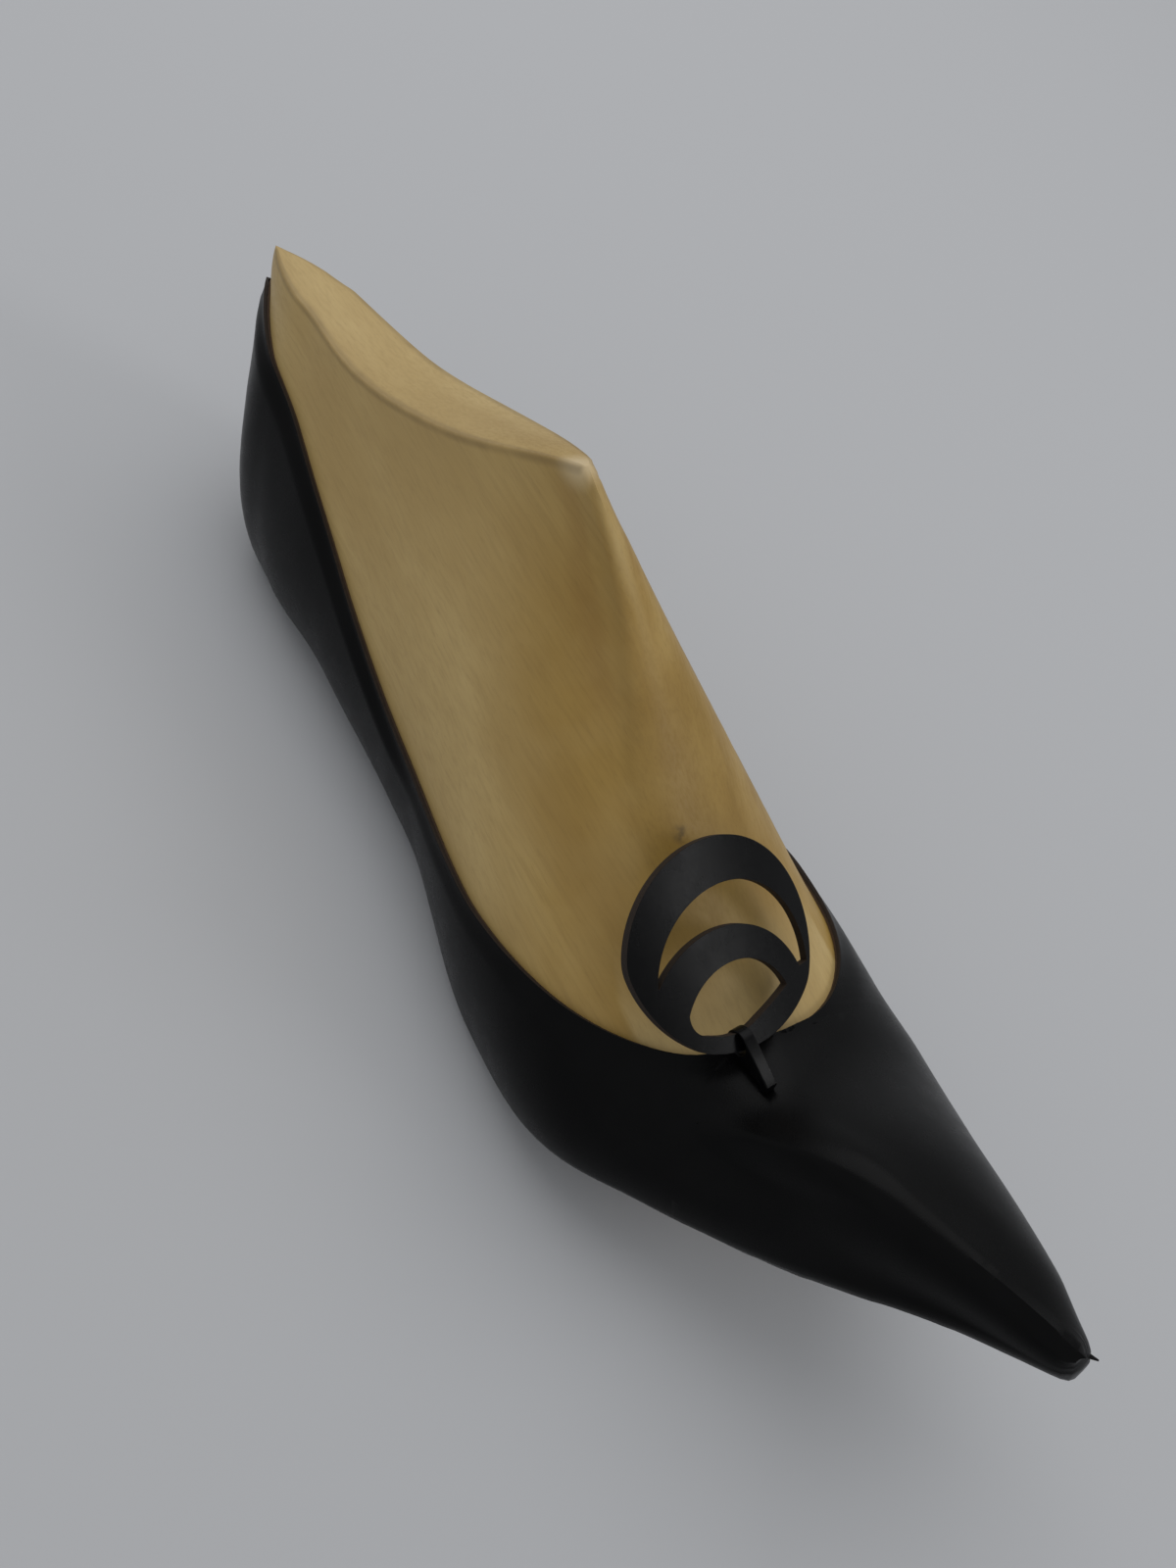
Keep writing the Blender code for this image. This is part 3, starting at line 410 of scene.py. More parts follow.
def makeBeech():
    f = beechFinish
    material, tree, shader = newMaterial("waxedBeech", Specular_IOR_Level=0.4)
    place = lastPlace(tree)
    coordinates = add(tree, "ShaderNodeTexCoord")
    grain = add(tree, "ShaderNodeMapping", {
        "Vector": coordinates.outputs["Object"], "Scale": (mm, mm, mm),
        "Rotation": (0, math.radians(f["grainTurn"]), 0)}, vector_type="TEXTURE").outputs[0]
    mottled = between(tree, noise(tree, stretched(tree, grain, f["mottle"]), 1, 3), 0.3, 0.7)
    rings = noise(tree, stretched(tree, grain, f["ring"]), 1, 4, 0.55, 0.4)
    fibres = noise(tree, stretched(tree, grain, f["fibre"]), 1, 4, 0.6)
    flecks = noise(tree, stretched(tree, grain, f["fleck"]), 1, 3, 0.6)
    colour = blended(tree, mottled, f["pale"], f["deep"])
    colour = blended(tree, between(tree, rings, 0.4, 0.64, 0.0, 0.3), colour, f["deep"])
    colour = blended(tree, between(tree, fibres, 0.4, 0.72, 0.0, 0.3), colour, f["fibreTint"])
    colour = blended(tree, between(tree, flecks, 0.55, 0.75, 0.0, 0.22), colour, f["fleckTint"])
    # a browner tint back from the instep ridge: partly a browner tone of the wood and partly
    # painted shade, left lighter at the top where the light falls
    offset = add(tree, "ShaderNodeVectorMath", {0: place, 1: f["ridgeTop"]}, operation="SUBTRACT")
    out, down = [add(tree, "ShaderNodeVectorMath", {0: offset.outputs[0], 1: f[way]},
                     operation="DOT_PRODUCT").outputs["Value"] for way in ("ridgeWay", "downRidge")]
    drift = noise(tree, stretched(tree, place, (0.03, 0.2, 0.03)), 1, 3)
    out = times(tree, out, between(tree, drift, 0.25, 0.75, -1.6, 1.6), "ADD")
    clear = times(tree, between(tree, out, *f["clearOut"]), between(tree, down, *f["clearDown"]))
    brownAndShade = times(tree, between(tree, out, *f["brownAndShadeOut"]),
                    times(tree, 1.0, clear, "SUBTRACT"))
    cloudy = noise(tree, place, 0.05, 3)
    brownAndShade = times(tree, brownAndShade, between(tree, cloudy, 0.3, 0.6, 0.75, 1.0))
    # painted light: less of the tint towards the top, where the wood is lit
    brownAndShade = times(tree, brownAndShade, between(tree, down, *f["brownAndShadeDown"]))
    brownAndShade = times(tree, brownAndShade, times(tree, between(tree, out, *f["ends"][0]),
                                         between(tree, down, *f["ends"][1]), "MAXIMUM"))
    colour = blended(tree, brownAndShade, colour, f["brownAndShade"], "MULTIPLY")
    front = times(tree, between(tree, out, *f["frontOut"]), zone(tree, down, *f["frontDown"]))
    colour = blended(tree, front, colour, f["front"], "MULTIPLY")
    # two streaks run down the ridge
    wide, fine = zone(tree, out, *f["streakWide"]), zone(tree, out, *f["streakFine"])
    streak = times(tree, zone(tree, down, *f["streakDown"]),
                   times(tree, wide, times(tree, fine, 0.45), "MAXIMUM"))
    colour = blended(tree, streak, colour, f["streak"], "MULTIPLY")
    # a small dark spot above the ornament, and a painted highlight: a pale spot on the ridge's top
    # corner
    spot = add(tree, "ShaderNodeVectorMath", {0: place, 1: f["darkSpot"]}, operation="DISTANCE")
    darkSpot = times(tree, between(tree, spot.outputs["Value"], *f["darkSpotSize"], 1, 0),
                   between(tree, noise(tree, place, 0.5, 2), 0.3, 0.6))
    colour = blended(tree, times(tree, darkSpot, 0.6), colour, f["darkSpotTint"])
    # painted highlight where the light catches the rounded corner
    corner = add(tree, "ShaderNodeVectorMath", {0: place, 1: f["ridgeTop"]}, operation="DISTANCE")
    cornerHighlighted = between(tree, corner.outputs["Value"], *f["cornerHighlightSize"], 0.9, 0)
    colour = blended(tree, cornerHighlighted, colour, f["cornerHighlight"])
    # the edge of the sanded top is drawn as a thin darker line
    edge = add(tree, "ShaderNodeAttribute", attribute_name="mark").outputs["Fac"]
    edgeLine = times(tree, between(tree, edge, 0.2, 0.9),
                 between(tree, noise(tree, place, 0.12, 2), 0.35, 0.6, 0.7, 1.0))
    colour = blended(tree, times(tree, edgeLine, 0.42), colour, f["edgeTint"])
    tree.links.new(colour, shader.inputs["Base Color"])
    tree.links.new(between(tree, fibres, 0.3, 0.7, *f["roughness"]), shader.inputs["Roughness"])
    bumped(tree, shader, fibres, 0.2, 0.00006)
    return material


calf = {"colour": (0.0019, 0.0019, 0.0020), "rough": 0.28, "level": 0.085}
ornamentCalf = {"colour": (0.0010, 0.0010, 0.0012), "rough": 0.24, "level": 0.11}
# the pattern's scales, how much its clouds lift the colour, and how deep it is in metres
leatherGrain = {"cells": 2.6, "pores": 3.2, "clouds": 0.06, "dull": 0.2, "lift": 1.5,
                "depth": 0.00006}


def makeLeather(name, colour, rough, level):
    g = leatherGrain
    material, tree, shader = newMaterial(name, Specular_IOR_Level=level)
    place = lastPlace(tree)
    clouds = noise(tree, place, g["clouds"], 3)
    cells = add(tree, "ShaderNodeTexVoronoi", {
        "Vector": place, "Scale": g["cells"], "Randomness": 1.0},
        feature="DISTANCE_TO_EDGE").outputs["Distance"]
    pores = noise(tree, place, g["pores"], 3, 0.6)
    lifted = tuple(c * g["lift"] for c in colour)
    tree.links.new(blended(tree, between(tree, clouds, 0.35, 0.65), colour, lifted),
                   shader.inputs["Base Color"])
    dull = between(tree, noise(tree, place, g["dull"], 4), 0.3, 0.7, rough - 0.02, rough + 0.04)
    tree.links.new(dull, shader.inputs["Roughness"])
    relief = times(tree, between(tree, cells, 0.0, 0.22), times(tree, pores, 0.5), "ADD")
    bumped(tree, shader, relief, 0.16, g["depth"])
    return material


def makeFibre(name, colour, dark, scale, roughness):
    # cut leather, board and felt: matted fibres with a little colour drift
    material, tree, shader = newMaterial(name, roughness, Specular_IOR_Level=0.25)
    place = lastPlace(tree)
    fibres = noise(tree, place, scale, 5, 0.7, 0.8)
    clouds = noise(tree, place, 0.08, 3)
    base = blended(tree, between(tree, fibres, 0.35, 0.68), colour, dark)
    drifted = blended(tree, between(tree, clouds, 0.3, 0.7, 0.0, 0.45), base, dark)
    tree.links.new(drifted, shader.inputs["Base Color"])
    bumped(tree, shader, fibres, 0.5, 0.0001)
    return material


steelFinish = {
    "bright": (0.45, 0.45, 0.46), "stained": (0.22, 0.2, 0.18), "roughness": (0.28, 0.45),
}


def makeSteel():
    material, tree, shader = newMaterial("drawnSteel", Metallic=1.0)
    place = lastPlace(tree)
    lines = noise(tree, stretched(tree, place, (0.12, 4.0, 4.0)), 1, 3, 0.6)
    stains = between(tree, noise(tree, place, 0.3, 4, 0.6), 0.5, 0.75, 0.0, 0.5)
    tree.links.new(blended(tree, stains, steelFinish["bright"], steelFinish["stained"]),
                   shader.inputs["Base Color"])
    tree.links.new(between(tree, lines, 0.3, 0.7, *steelFinish["roughness"]),
                   shader.inputs["Roughness"])
    bumped(tree, shader, lines, 0.2, 0.00003)
    return material


beech = makeBeech()
blackLeather = makeLeather("blackCalf", **calf)
ringLeather = makeLeather("ornamentCalf", **ornamentCalf)
rawEdge = makeFibre("cutEdge", (0.034, 0.022, 0.015), (0.012, 0.008, 0.006), 3.0, 0.7)
brownLining = makeFibre("brownLining", (0.08, 0.046, 0.026), (0.05, 0.029, 0.017), 2.0, 0.65)
insoleBoard = makeFibre("insoleBoard", (0.42, 0.30, 0.18), (0.3, 0.2, 0.11), 1.4, 0.85)
felt = makeFibre("stiffenerFelt", (0.55, 0.48, 0.38), (0.42, 0.36, 0.28), 1.6, 0.9)
steel = makeSteel()
print("materials made")


# the wooden last
def lastSection(column):
    # one closed section, with a mark on the points at the edge of the sanded top
    halves, ends = [], []
    for side in (0, 1):
        line = halfSection(column, side)
        climb = line[:, 2] - line[0, 2]
        start = np.array([np.interp(last["insole"], climb, line[:, k]) for k in range(3)])
        above = climb > last["insole"] + 0.01
        line = np.vstack([start, line[above] if above.any() else start])
        ends.append(crossing(line, line[:, 2] - scoopHeight(line[:, 0])))
        halves.append(line)
    met = [readLine(line, [alongLine(line)[-1] if end is None else end])[0]
           for line, end in zip(halves, ends)]
    middle = (met[0] + met[1]) / 2
    width = np.linalg.norm(met[0] - met[1])
    if None not in ends:
        middle[2] = scoopHeight(middle[0])[0] + last["crown"] * min(width / last["crownWidth"], 1)
    rows = []
    for line, corner, end in zip(halves, met, ends):
        run = np.linalg.norm(middle - corner)
        edge = min(last["scoopEdge"], 0.4 * run)
        total = alongLine(line)[-1] if end is None else end
        wall = readLine(line, eased(last["sidePoints"], 0, max(total - edge, 0)))
        across = corner + (middle - corner) * (edge / run if run > 0.001 else 0)
        top = []
        for t in np.linspace(0, 1, last["topPoints"])[:-1]:
            p = across + (middle - across) * t
            if run > 0.001:
                crowned = math.sin(math.pi / 2 * (edge + (run - edge) * t) / run)
                p[2] = scoopHeight(p[0])[0] + (middle[2] - scoopHeight(middle[0])[0]) * crowned
            top.append(p)
        rows.append([*wall, *bend(wall[-1], corner, top[0]), *top])
    inner, outer = rows
    steps = np.linspace(0, 1, last["solePoints"])[1:-1]
    sole = [inner[0] + (outer[0] - inner[0]) * t for t in steps]
    rim = last["sidePoints"] - 1
    edged = [float(rim <= k <= rim + 4 and width > 1) for k in range(len(inner))]
    return ([inner[0], *sole, *outer, middle, *inner[:0:-1]],
            [0.0] * (len(sole) + 1) + edged + [0.0] + edged[:0:-1])


print("shaping the last")
sections, marks = zip(*[lastSection(c) for c in columns])
sections = [list(s) for s in sections]
sections[-1] = [p - np.array([last["tipEase"], 0, 0]) for p in sections[-1]]
finished("lastBlock", cleaned(skinned(sections, True, marks)), beech, "lasted_shoe", "beech",
         "last_body", flat=60)


# leather, lining and stiffeners: sheets that follow the last at a distance
upper = {
    # the top edge along the sides, and the rounded throat in plan
    "topline": ((-12.0, 130.0), (5.0, 118.0), (24.0, 104.2), (39.2, 91.3), (61.0, 72.3),
                (84.2, 54.9), (102.7, 46.0), (121.5, 39.6), (144.0, 34.8), (165.0, 28.5),
                (200.0, 20.0)),
    "throatFront": 182.2, "throatDepth": 72.0, "throatHalf": (46.0, 43.7), "throatOffset": 7.0,
    "throatBlend": 7.0, "throatFall": 30,
    "margin": 14.0, "featherRound": 1.4, "marginMeets": 0.5,
    "clearance": 0.3, "lining": 0.5, "stiffener": 0.6, "leather": 0.9,
    "puffBack": 208.0, "counterFront": 64.0, "stiffenerRamp": 16.0, "stiffenerMargin": 8.0,
    "puffFrom": 0.845, "counterTo": 0.3,  # columns
    "liningDrop": 0.2, "counterDrop": 5.0,  # how far they end below the upper's edge
    "closing": 5.0,  # the layers close up over this much below the topline
    "closer": 0.5, "closingFrom": 0.5,
    # the toe is fuller on its outer side: from where to where, eased towards the tip
    "toeSwell": 1.7, "swellAlong": (214, 246), "swellAcross": (-8, 4),
    "swellEase": 0.6, "swellEases": (244, 256),
    # the gathers of the margin, as the toe and the heel need them
    "pleat": 0.4, "pleatPitch": 5.0, "pleatToe": ((196, 214), (236, 250)), "pleatHeel": (18, 40),
    "heelCentre": 26, "heelRadius": 22,
    # where the toe's ridge is creased, and by how much it stands out there
    "crease": ((181.0, -23.3, 20.3, 0.0), (187.0, -19.8, 21.3, 1.2), (194.3, -16.4, 23.0, 2.0),
               (202.2, -14.0, 25.5, 2.2), (209.7, -12.2, 27.7, 1.7), (217.3, -10.5, 28.8, 0.9),
               (226.0, -8.6, 28.4, 0.0)),
    "creaseSpan": (182, 226), "creaseWidth": 6.5, "creaseAcross": (0.72, 0.69), "creaseAbove": 3,
    # smoothed ahead of these places: the whole nose, and the lip in steps
    "noseSmooth": 254, "lipSmooth": (204, 216, 228, 240, 250), "lipHeight": 4.5,
    "settledFrom": 244, "settled": 0.12,
    # the columns that the throat's front is between, and extra ones where it closes
    "frontBetween": (0.6, 0.9), "closeColumns": 10, "closeness": 0.00004,
    "marginPoints": 7, "wallPoints": 40, "overPoints": 16, "nosePoints": 5,
}


def underMargin(side, column, margin, edge):
    # the margin turned in under the bottom; near the toe the two margins meet in the middle
    start, middle = foot(side, column), (foot(0, column) + foot(1, column)) / 2
    half = np.linalg.norm(middle - start)
    if column > 0.5 and half <= margin + upper["marginMeets"]:
        share = min(edge / max(half, 0.001), 0.3)
        return [middle + (start - middle) * t for t in eased(upper["marginPoints"], 0, 1 - share)]
    step = 0.002
    if column < step:
        along = foot(1, step) - foot(0, step)
    else:
        along = foot(side, min(column + step, 1)) - foot(side, column - step)
    inward = np.array([along[1], -along[0], 0.0]) / max(np.linalg.norm(along[:2]), 1e-9)
    if column >= step and (middle - start) @ inward < 0:
        inward = -inward
    under = []
    for t in eased(upper["marginPoints"], margin, edge):
        p = start + inward * t
        p[2] += bottomHeight(p[0])[0] - bottomHeight(start[0])[0]
        under.append(p)
    return under


def cutAway(points, drop):
    # above zero where the opening of the shoe has taken the leather away
    x, y, z = points[:, 0], points[:, 1], points[:, 2]
    blend, (inner, outer) = upper["throatBlend"], upper["throatHalf"]
    ahead = x - (upper["throatFront"] - upper["throatDepth"])
    ahead = np.maximum(ahead, 0) / upper["throatDepth"]
    beside = y - upper["throatOffset"]
    beside = np.where(beside < 0, np.maximum(-beside / inner, 0) ** 3, (beside / outer) ** 2)
    plan = (1 - ahead ** 2 - beside) * upper["throatFall"]
    above = z - curve(upper["topline"], x)[:, 0] + drop
    gap = np.maximum(blend - abs(plan - above), 0) / blend
    return np.minimum(plan, above) - gap ** 2 * blend / 4


def throatAt(column, drop):
    # where each wall is cut, and where the cut ends beyond the crest
    inner, outer = halfSection(column, 0), halfSection(column, 1)
    nearEnd = crossing(inner, cutAway(inner, drop))
    farEnd = crossing(outer, cutAway(outer, drop))
    beyond = None
    if nearEnd is None and farEnd is not None:
        back = outer[::-1]
        beyond = alongLine(outer)[-1] - crossing(back, cutAway(back, drop))
    return inner, outer, nearEnd, farEnd, beyond


def closingColumn(drop):
    # the column at the very front of the throat
    low, high = upper["frontBetween"]
    for _ in range(30):
        tried = (low + high) / 2
        if throatAt(tried, drop)[3] is None:
            high = tried
        else:
            low = tried
    return low


def onNose(row, low, high):
    # move a row onto a few points between the foot and the top of the nose
    steps = upper["nosePoints"]
    rises = [float(np.clip((p[2] - low[2]) / (high[2] - low[2]), 0, 1)) for p in row]
    return [low + (high - low) * round(steps * rise) / steps for rise in rises]


def sheetBands(chosen, drop, margin):
    # two bands: the inner one runs over the crest, and they meet ahead of the throat
    closing = closingColumn(drop)
    _, outer, _, farEnd, _ = throatAt(closing, drop)
    share = farEnd / alongLine(outer)[-1]
    start, end = chosen[0], chosen[-1]
    close = [closing - upper["closeness"] * k ** 3 for k in range(upper["closeColumns"])]
    dense = set(chosen) | set(close if start < closing < end else [])
    bands = ([], [])
    for column in sorted(c for c in dense if start <= c <= end):
        inner, outer, nearEnd, farEnd, beyond = throatAt(column, drop)
        lengths = [alongLine(inner)[-1], alongLine(outer)[-1]]
        if farEnd is None:
            farEnd = beyond = share * lengths[1]
        ends = (lengths[0] if nearEnd is None else nearEnd, farEnd)
        for side, line in enumerate((inner, outer)):
            edge = min(upper["featherRound"], 0.2 * lengths[side])
            under = underMargin(side, column, margin, edge)
            wall = readLine(line, eased(upper["wallPoints"], edge, max(ends[side], edge)))
            row = [*under, *bend(under[-1], line[0], wall[0]), *wall]
            if not side and nearEnd is None:
                over = eased(upper["overPoints"], 0, lengths[1] - beyond)
                row += list(readLine(outer[::-1], over)[1:])
            elif not side:
                row += [wall[-1]] * (upper["overPoints"] - 1)
            if column == 1:  # both bands close on the same points
                row = onNose(row, line[0], line[-1])
            bands[side].append(row)
    return bands


def grown(bm, distance):
    # push every point out by the distance that it asks for
    bm.normal_update()
    moves = [v.normal * distance(v.co) * min(v.calc_shell_factor(), 1.5) for v in bm.verts]
    for v, move in zip(bm.verts, moves):
        v.co += move


def ramp(value, start, end):
    # from nothing at the start to one at the end
    t = min(max((value - start) / (end - start), 0.0), 1.0)
    return t * t * (3 - 2 * t)


def belowCut(co, drop):
    # how far a point is inside the edge of the opening
    return -cutAway(np.array([co]), drop)[0]


def overStiffeners(co):
    # what the upper adds to its own thickness: stiffeners, fullness, gathers and the crease
    u = upper
    wide = u["stiffenerRamp"]
    toe = ramp(co.x, u["puffBack"] - 2 * wide, u["puffBack"] - wide)
    heel = 1 - ramp(co.x, u["counterFront"] + wide, u["counterFront"] + 2 * wide)
    heel *= ramp(belowCut(co, 0), u["closingFrom"], u["closing"])
    swell = u["toeSwell"] * ramp(co.x, *u["swellAlong"]) \
        * (1 - u["swellEase"] * ramp(co.x, *u["swellEases"])) * ramp(co.y, *u["swellAcross"])
    return (u["stiffener"] + u["clearance"]) * max(toe, heel) + swell + pleats(co) + crease(co) \
        - u["closer"] * closed(co, 0)


def crease(co):
    # the ridge of the toe stands out to a sharp line
    start, end = upper["creaseSpan"]
    if not start < co.x < end or co.z <= bottomHeight(co.x)[0] + upper["creaseAbove"]:
        return 0.0
    y, z, height = curve(upper["crease"], co.x)[0]
    sideways, upwards = upper["creaseAcross"]
    across = abs(sideways * (co.y - y) + upwards * (co.z - z))
    return height * max(1 - across / upper["creaseWidth"], 0) ** 2


def pleats(co):
    # the margin is gathered round the toe and the heel
    starts, stops = upper["pleatToe"]
    toe, heel = ramp(co.x, *starts) * (1 - ramp(co.x, *stops)), 1 - ramp(co.x, *upper["pleatHeel"])
    depth = bottomHeight(co.x)[0] + 0.2 - co.z
    gathered = max(toe, heel) * ramp(depth, -0.2, 0.1)
    if gathered <= 0:
        return 0.0
    aroundHeel = math.atan2(co.y, upper["heelCentre"] - co.x)
    along = co.x if co.x > 100 else upper["heelRadius"] * aroundHeel
    fold = abs(math.sin(math.pi * (along + 0.6 * math.sin(along * 1.7)) / upper["pleatPitch"]))
    return upper["pleat"] * gathered * (fold - 0.5)


def closed(co, drop):
    # one at the topline, where the layers close up, and nothing below
    return 1 - ramp(belowCut(co, drop), upper["closingFrom"], upper["closing"])


def overLining(co):
    # the lining gives way to the upper where the two close up
    return liningOut - (upper["closer"] - upper["clearance"] + 0.02) \
        * closed(co, upper["liningDrop"])


def sheet(name, chosen, distance, thickness, material, slot, node, drop=0.0, margin=None, rim=None):
    bands = sheetBands(chosen, drop, margin or upper["margin"])
    bm = joined([skinned(band) for band in bands])
    cleaned(bm, 0.004)
    high = max(bm.faces, key=lambda f: f.calc_center_median().y)
    if high.normal.y < 0:
        bmesh.ops.reverse_faces(bm, faces=bm.faces)
    grown(bm, distance)
    nose = [v for v in bm.verts if v.co.x > upper["noseSmooth"]]
    starts = upper["lipSmooth"]
    lip = [v for v in bm.verts if v.co.x > starts[0] and not v.is_boundary
           and abs(v.co.z - bottomHeight(v.co.x)[0]) < upper["lipHeight"]]
    for smoothed in [nose] * 3 + [[v for v in lip if v.co.x > x] for x in starts]:
        bmesh.ops.smooth_vert(bm, verts=smoothed, factor=0.5, use_axis_x=True, use_axis_y=True,
                              use_axis_z=True)
    # what the smoothing has brought together at the nose becomes one
    bmesh.ops.remove_doubles(bm, verts=[v for v in bm.verts if v.co.x > upper["settledFrom"]],
                             dist=upper["settled"])
    piece = finished(name, bm, (material, rim or material), "lasted_shoe", slot, node)
    wall = piece.modifiers.new("thickness", "SOLIDIFY")
    wall.thickness = thickness * mm
    wall.offset = -1
    wall.material_offset_rim = 1
    softened(piece, 0.25 * thickness, 2, 60)


# how far out each layer ends
liningOut = upper["clearance"] + upper["lining"]
stiffenerOut = liningOut + upper["clearance"] + upper["stiffener"]
upperOut = liningOut + upper["clearance"] + upper["leather"]

print("lasting the leather")
sheet("lining", columns, overLining, upper["lining"], brownLining, "brown_lining", "lining",
      drop=upper["liningDrop"])
sheet("upper", columns, lambda co: upperOut + overStiffeners(co), upper["leather"], blackLeather,
      "black_leather", "upper", rim=rawEdge)
sheet("toePuff", [c for c in columns if c >= upper["puffFrom"]], lambda co: stiffenerOut,
      upper["stiffener"], felt, "stiffener", "toe_puff", margin=upper["stiffenerMargin"])
sheet("heelCounter", [c for c in columns if c <= upper["counterTo"]], lambda co: stiffenerOut,
      upper["stiffener"], felt, "stiffener", "heel_counter", drop=upper["counterDrop"],
      margin=upper["stiffenerMargin"])

# a clipped end of leather stands out at the tip
spur = {"middle": (259.0, 1.8, 18.5), "way": (0.77, 0.56, -0.30), "length": 3.0,
        "wide": 0.85, "thin": 0.3, "point": 0.2}
tab = bmesh.new()
bmesh.ops.create_cone(tab, cap_ends=True, segments=10, radius1=spur["wide"],
                      radius2=spur["point"], depth=spur["length"])
bmesh.ops.scale(tab, vec=(1, spur["thin"] / spur["wide"], 1), verts=tab.verts)
turned = Vector(spur["way"]).to_track_quat("Z", "Y").to_matrix().to_4x4()
bmesh.ops.transform(tab, matrix=Matrix.Translation(spur["middle"]) @ turned, verts=tab.verts)
finished("clipping", tab, blackLeather, "lasted_shoe", "black_leather")


# the ornament and the strap that holds it
ornament = {
    "hinge": (183.4775, -10.7, 35.6942), "lean": 33.0, "thickness": 2.0, "edge": 0.45,
    # circles: middle and radius, in the ring's own plane
    "outer": (2.5, 17.3, 22.1), "inner": (-0.2, 3.2, 19.4), "base": (3.8, 24.4, 26.1),
    "left": (8.3, 23.0, 27.4), "outlinePoints": 160, "smoothings": 4,
    "crescent": (3.4, 11.9, 18.4), "crescentFoot": 7.6, "crescentTip": 16.7,
    "roll": 95.0,  # radius of the bend towards each side
    "slices": (-20, 24, 1.6),  # the face is cut into strips, so that it can bend
    "eye": (1.2, 2.3, 13.2), "eyeHeight": 9.5, "eyeCorner": (-10.6, 5.4),
    "floor": ((-6.3, 4.0), (-2.3, 2.55), (1.0, 2.25), (5.6, 3.3), (14.0, 5.8)),
}


def arc(circle, start, end, steps):
    return [Vector((circle[0] + circle[2] * math.cos(a), circle[1] + circle[2] * math.sin(a)))
            for a in np.linspace(start, end, steps)]


def risesTo(circle, height):
    # the angle at which a circle reaches a height
    return math.asin((height - circle[1]) / circle[2])


def leaveCircle(start, direction, circle):
    # how far it is from a point to the circle round it
    offset = start - Vector(circle[:2])
    run = offset.dot(direction)
    return -run + math.sqrt(run * run - offset.length_squared + circle[2] ** 2)


def ringOutline():
    # two discs trimmed by two wider circles, with no corner where one takes over
    o = ornament
    centre = (Vector(o["inner"][:2]) + Vector(o["outer"][:2])) / 2
    rays = [Vector((math.cos(a), math.sin(a)))
            for a in np.linspace(0, math.tau, o["outlinePoints"], endpoint=False)]
    reach = []
    for ray in rays:
        discs = max(leaveCircle(centre, ray, o[disc]) for disc in ("outer", "inner"))
        reach.append(min(discs, *(leaveCircle(centre, ray, o[trim]) for trim in ("base", "left"))))
    for _ in range(o["smoothings"]):
        reach = [(a + 2 * b + c) / 4
                 for a, b, c in zip(reach[-1:] + reach[:-1], reach, reach[1:] + reach[:1])]
    return [centre + ray * length for ray, length in zip(rays, reach)]


def makeOrnament():
    o = ornament
    c, inner = o["crescent"], o["inner"]
    low, high = o["crescentFoot"], o["crescentTip"]
    crescent = arc(c, risesTo(c, low), math.pi - risesTo(c, high), 70)
    crescent += arc(inner, math.pi - risesTo(inner, high), risesTo(inner, low), 50)
    eye = arc(o["eye"], risesTo(o["eye"], o["floor"][-1][1]),
              math.pi - risesTo(o["eye"], o["eyeHeight"]), 60)
    floorLine = [Vector((y, curve(o["floor"], y)[0, 0]))
                 for y in np.linspace(o["floor"][0][0], eye[0].x, 30)]
    eye += [Vector(p) for p in bend(eye[-1], Vector(o["eyeCorner"]), floorLine[0], 12)]
    eye += floorLine[:-1]
    loops = [[(0, p.x, p.y) for p in loop] for loop in (ringOutline(), crescent, eye)]
    bm = flatShape(loops, (1, 0, 0))
    for across in np.arange(*o["slices"]):
        bmesh.ops.bisect_plane(bm, geom=bm.verts[:] + bm.edges[:] + bm.faces[:],
                               plane_co=(0, across, 0), plane_no=(0, 1, 0), dist=0.05)
    pulledOut(bm, (o["thickness"], 0, 0))
    bmesh.ops.translate(bm, vec=(-o["thickness"] / 2, 0, 0), verts=bm.verts)
    bmesh.ops.recalc_face_normals(bm, faces=bm.faces)
    for f in bm.faces:
        f.material_index = 0 if abs(f.normal.x) > 0.5 else 1
    for v in bm.verts:
        v.co.x -= v.co.y ** 2 / (2 * o["roll"])
    leaned = Matrix.Rotation(-math.radians(o["lean"]), 4, "Y")
    piece = finished("ringOrnament", bm, (ringLeather, rawEdge), "ornament", "black_leather",
                     "ring_ornament", move=toFrame @ Matrix.Translation(o["hinge"]) @ leaned)
    softened(piece, o["edge"], 4, 50)


print("cutting the ornament")
makeOrnament()

keeper = {
    "width": 2.6, "thickness": 0.6, "clearance": 0.3, "edge": 0.2,
    "loop": 2.62,  # radius of its middle round the bar
    # from the hinge to the leather and to the slot, and how far it is tucked in there
    "height": 3.4591, "reach": 9.0976, "tuck": 0.45,
    "forward": (0.9673, 0.0, -0.2537), "away": (0.2537, 0.0, 0.9673),  # along the vamp, and off it
}


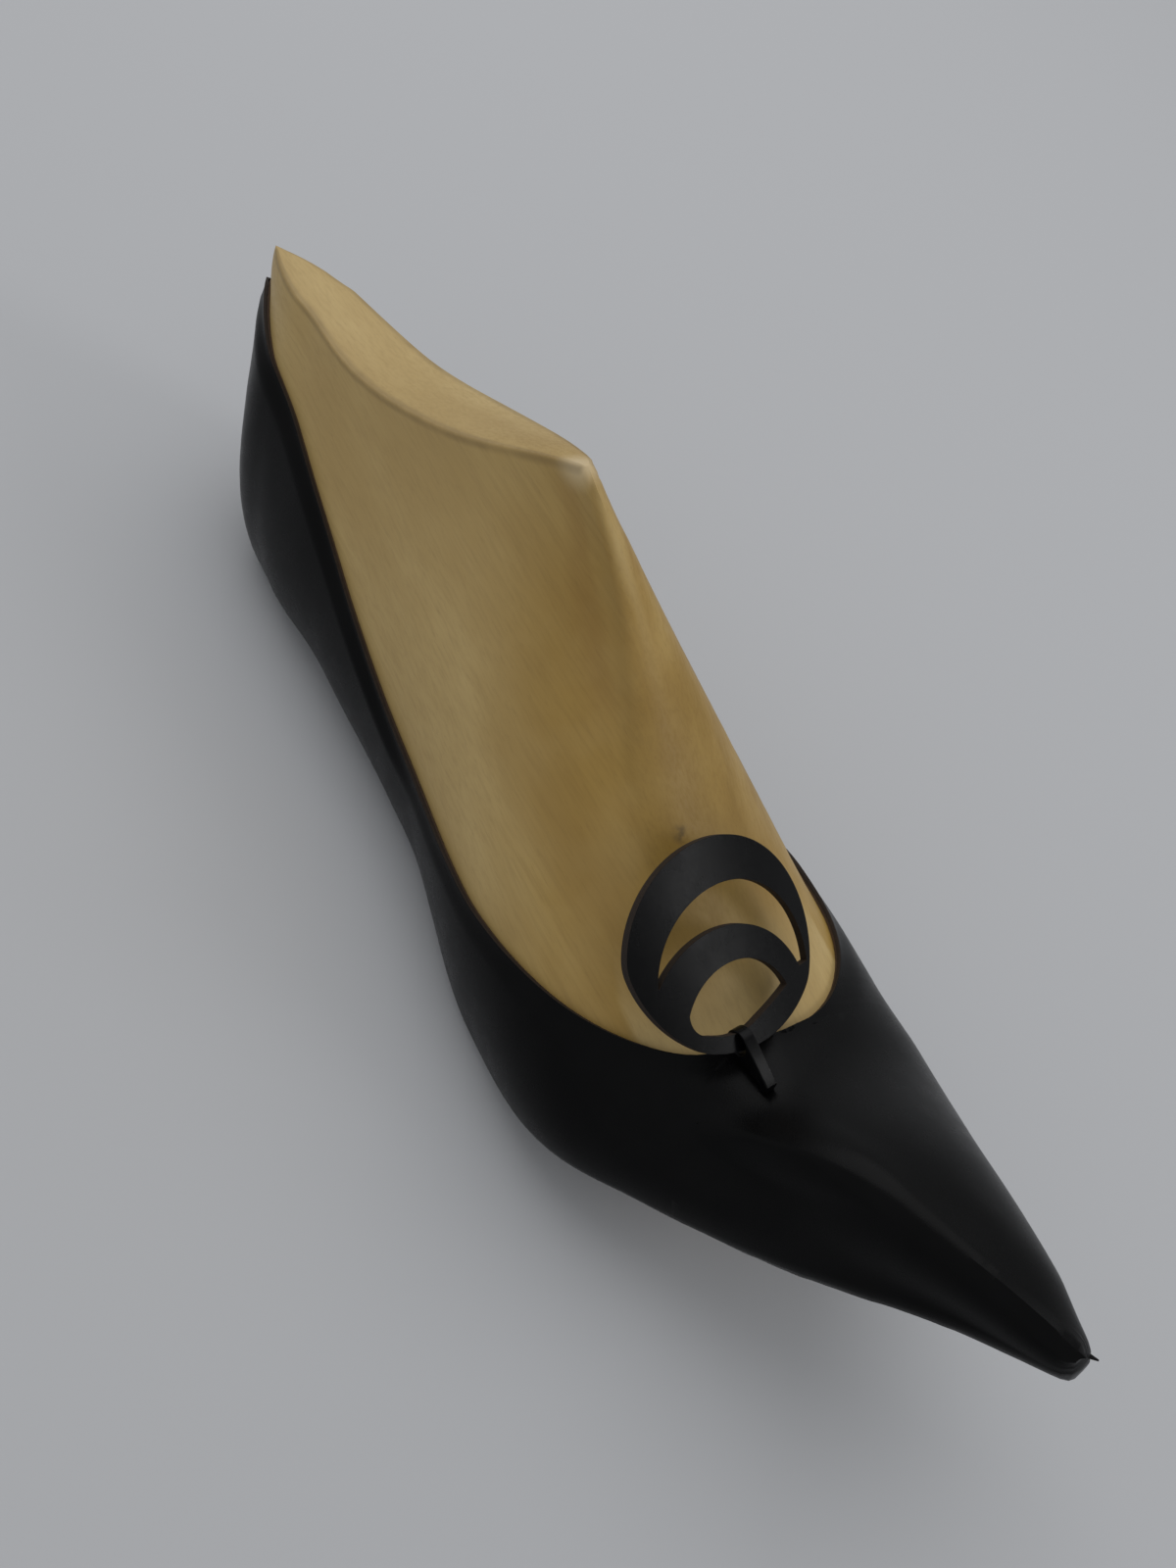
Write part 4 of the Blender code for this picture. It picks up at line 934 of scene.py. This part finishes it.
def makeKeeper():
    # doubled round the ornament's bar, and straight down into its slot
    k = keeper
    step = (k["thickness"] + k["clearance"]) / 2
    tail = -k["height"] - k["tuck"]
    corner = Vector((k["reach"] + step, 2 * step - k["loop"]))
    leaves = math.degrees(math.atan2(corner.y, corner.x) + math.acos(k["loop"] / corner.length))
    turns = [Vector((k["loop"] * math.cos(a), k["loop"] * math.sin(a)))
             for a in np.radians(np.linspace(270, leaves, 40))]
    outer = k["loop"] + k["thickness"] / 2
    half = k["thickness"] / 2
    shape = [p * (outer / k["loop"]) for p in turns]
    shape += [Vector((corner.x + 0.4 * half, corner.y + half)),
              Vector((corner.x + half, corner.y)), Vector((corner.x + half, tail)),
              Vector((k["reach"] - step - half, tail)), Vector((k["reach"] - step - half, -outer))]
    eye = [Vector((math.cos(a), math.sin(a))) * (k["loop"] - half)
           for a in np.linspace(0, math.tau, 40, endpoint=False)]
    forward, away, start = Vector(k["forward"]), Vector(k["away"]), Vector((0, -k["width"] / 2, 0))
    bm = flatShape([[forward * p.x + away * p.y + start for p in loop] for loop in (shape, eye)],
                   (0, -1, 0))
    pulledOut(bm, (0, k["width"], 0))
    bmesh.ops.recalc_face_normals(bm, faces=bm.faces)
    piece = finished("keeperStrap", bm, ringLeather, "lasted_shoe", "black_leather",
                     "keeper_strap", move=toFrame @ Matrix.Translation(ornament["hinge"]))
    softened(piece, k["edge"], 3, 50)


makeKeeper()

# the pieces underneath keep their shape and get their finish
for name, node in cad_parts.items():
    if name == "insole_board":
        finish = insoleBoard
    elif name == "steel_shank" or "rivet" in name or "tack" in name:
        finish = steel
    else:
        continue
    for place in node.material_slots:
        place.material = finish

# the camera stands where the photographed outline puts it, turned by degrees
view = {
    "place": (0.10043544, -0.155427, 0.27939666),
    "turned": (33.65028727, -17.3068173, 56.39101864),
    "lens": 32.09868, "film": 36, "nearest": 0.01,
}
cameraData = bpy.data.cameras.new("camera")
camera = bpy.data.objects.new("camera", cameraData)
bpy.context.scene.collection.objects.link(camera)
camera.location = view["place"]
camera.rotation_euler = [math.radians(a) for a in view["turned"]]
cameraData.sensor_fit = "VERTICAL"
cameraData.sensor_height = view["film"]
cameraData.lens = view["lens"]
cameraData.clip_start = view["nearest"]
bpy.context.scene.camera = camera
print("camera set")

# a plain pale floor and soft light from the top of the picture
stage = {
    "floor": (0.50, 0.505, 0.52), "reach": 6, "sunk": 0.0003,
    # lamps: which way they are from the target, then distance, size and power
    "target": (0.0, 0.0, 0.04), "windowWay": (-0.67965043, 0.33089082, 1.39100567),
    "window": (1.2, 1.5, 5.9), "sideWay": (0.65, 0.49, 0.58), "side": (1.1, 0.34, 1.2),
    "air": (0.96, 0.98, 1.0), "fill": 0.5,
}
floorMesh = bmesh.new()
bmesh.ops.create_grid(floorMesh, x_segments=1, y_segments=1, size=stage["reach"])
floorData = bpy.data.meshes.new("floor")
floorMesh.to_mesh(floorData)
floorMesh.free()
floor = bpy.data.objects.new("floor", floorData)
floor.location.z = -stage["sunk"]
bpy.context.scene.collection.objects.link(floor)
cloth, tree, shader = newMaterial("paleCloth", 0.95, Specular_IOR_Level=0.1)
shader.inputs["Base Color"].default_value = (*stage["floor"], 1)
# the cloth is clear from below, so that the sole can be looked at
below = add(tree, "ShaderNodeNewGeometry").outputs["Backfacing"]
clear = add(tree, "ShaderNodeBsdfTransparent").outputs[0]
seeThrough = add(tree, "ShaderNodeMixShader", {0: below, 1: shader.outputs[0], 2: clear})
tree.links.new(seeThrough.outputs[0], tree.nodes["Material Output"].inputs["Surface"])
floorData.materials.append(cloth)


def lamp(name, way, distance, size, power):
    # a round lamp that looks at the target
    data = bpy.data.lights.new(name, "AREA")
    data.shape = "DISK"
    data.size = size
    data.energy = power
    lit = bpy.data.objects.new(name, data)
    bpy.context.scene.collection.objects.link(lit)
    target = Vector(stage["target"])
    lit.location = target + Vector(way).normalized() * distance
    lit.rotation_euler = (target - lit.location).to_track_quat("-Z", "Y").to_euler()


lamp("window", stage["windowWay"], *stage["window"])
lamp("side", stage["sideWay"], *stage["side"])
print("lamps set")

world = bpy.data.worlds.new("room")
bpy.context.scene.world = world
world.use_nodes = True
air = world.node_tree.nodes["Background"].inputs
air["Color"].default_value = (*stage["air"], 1)
air["Strength"].default_value = stage["fill"]
bpy.context.scene.view_settings.view_transform = "Standard"

print("finishing")
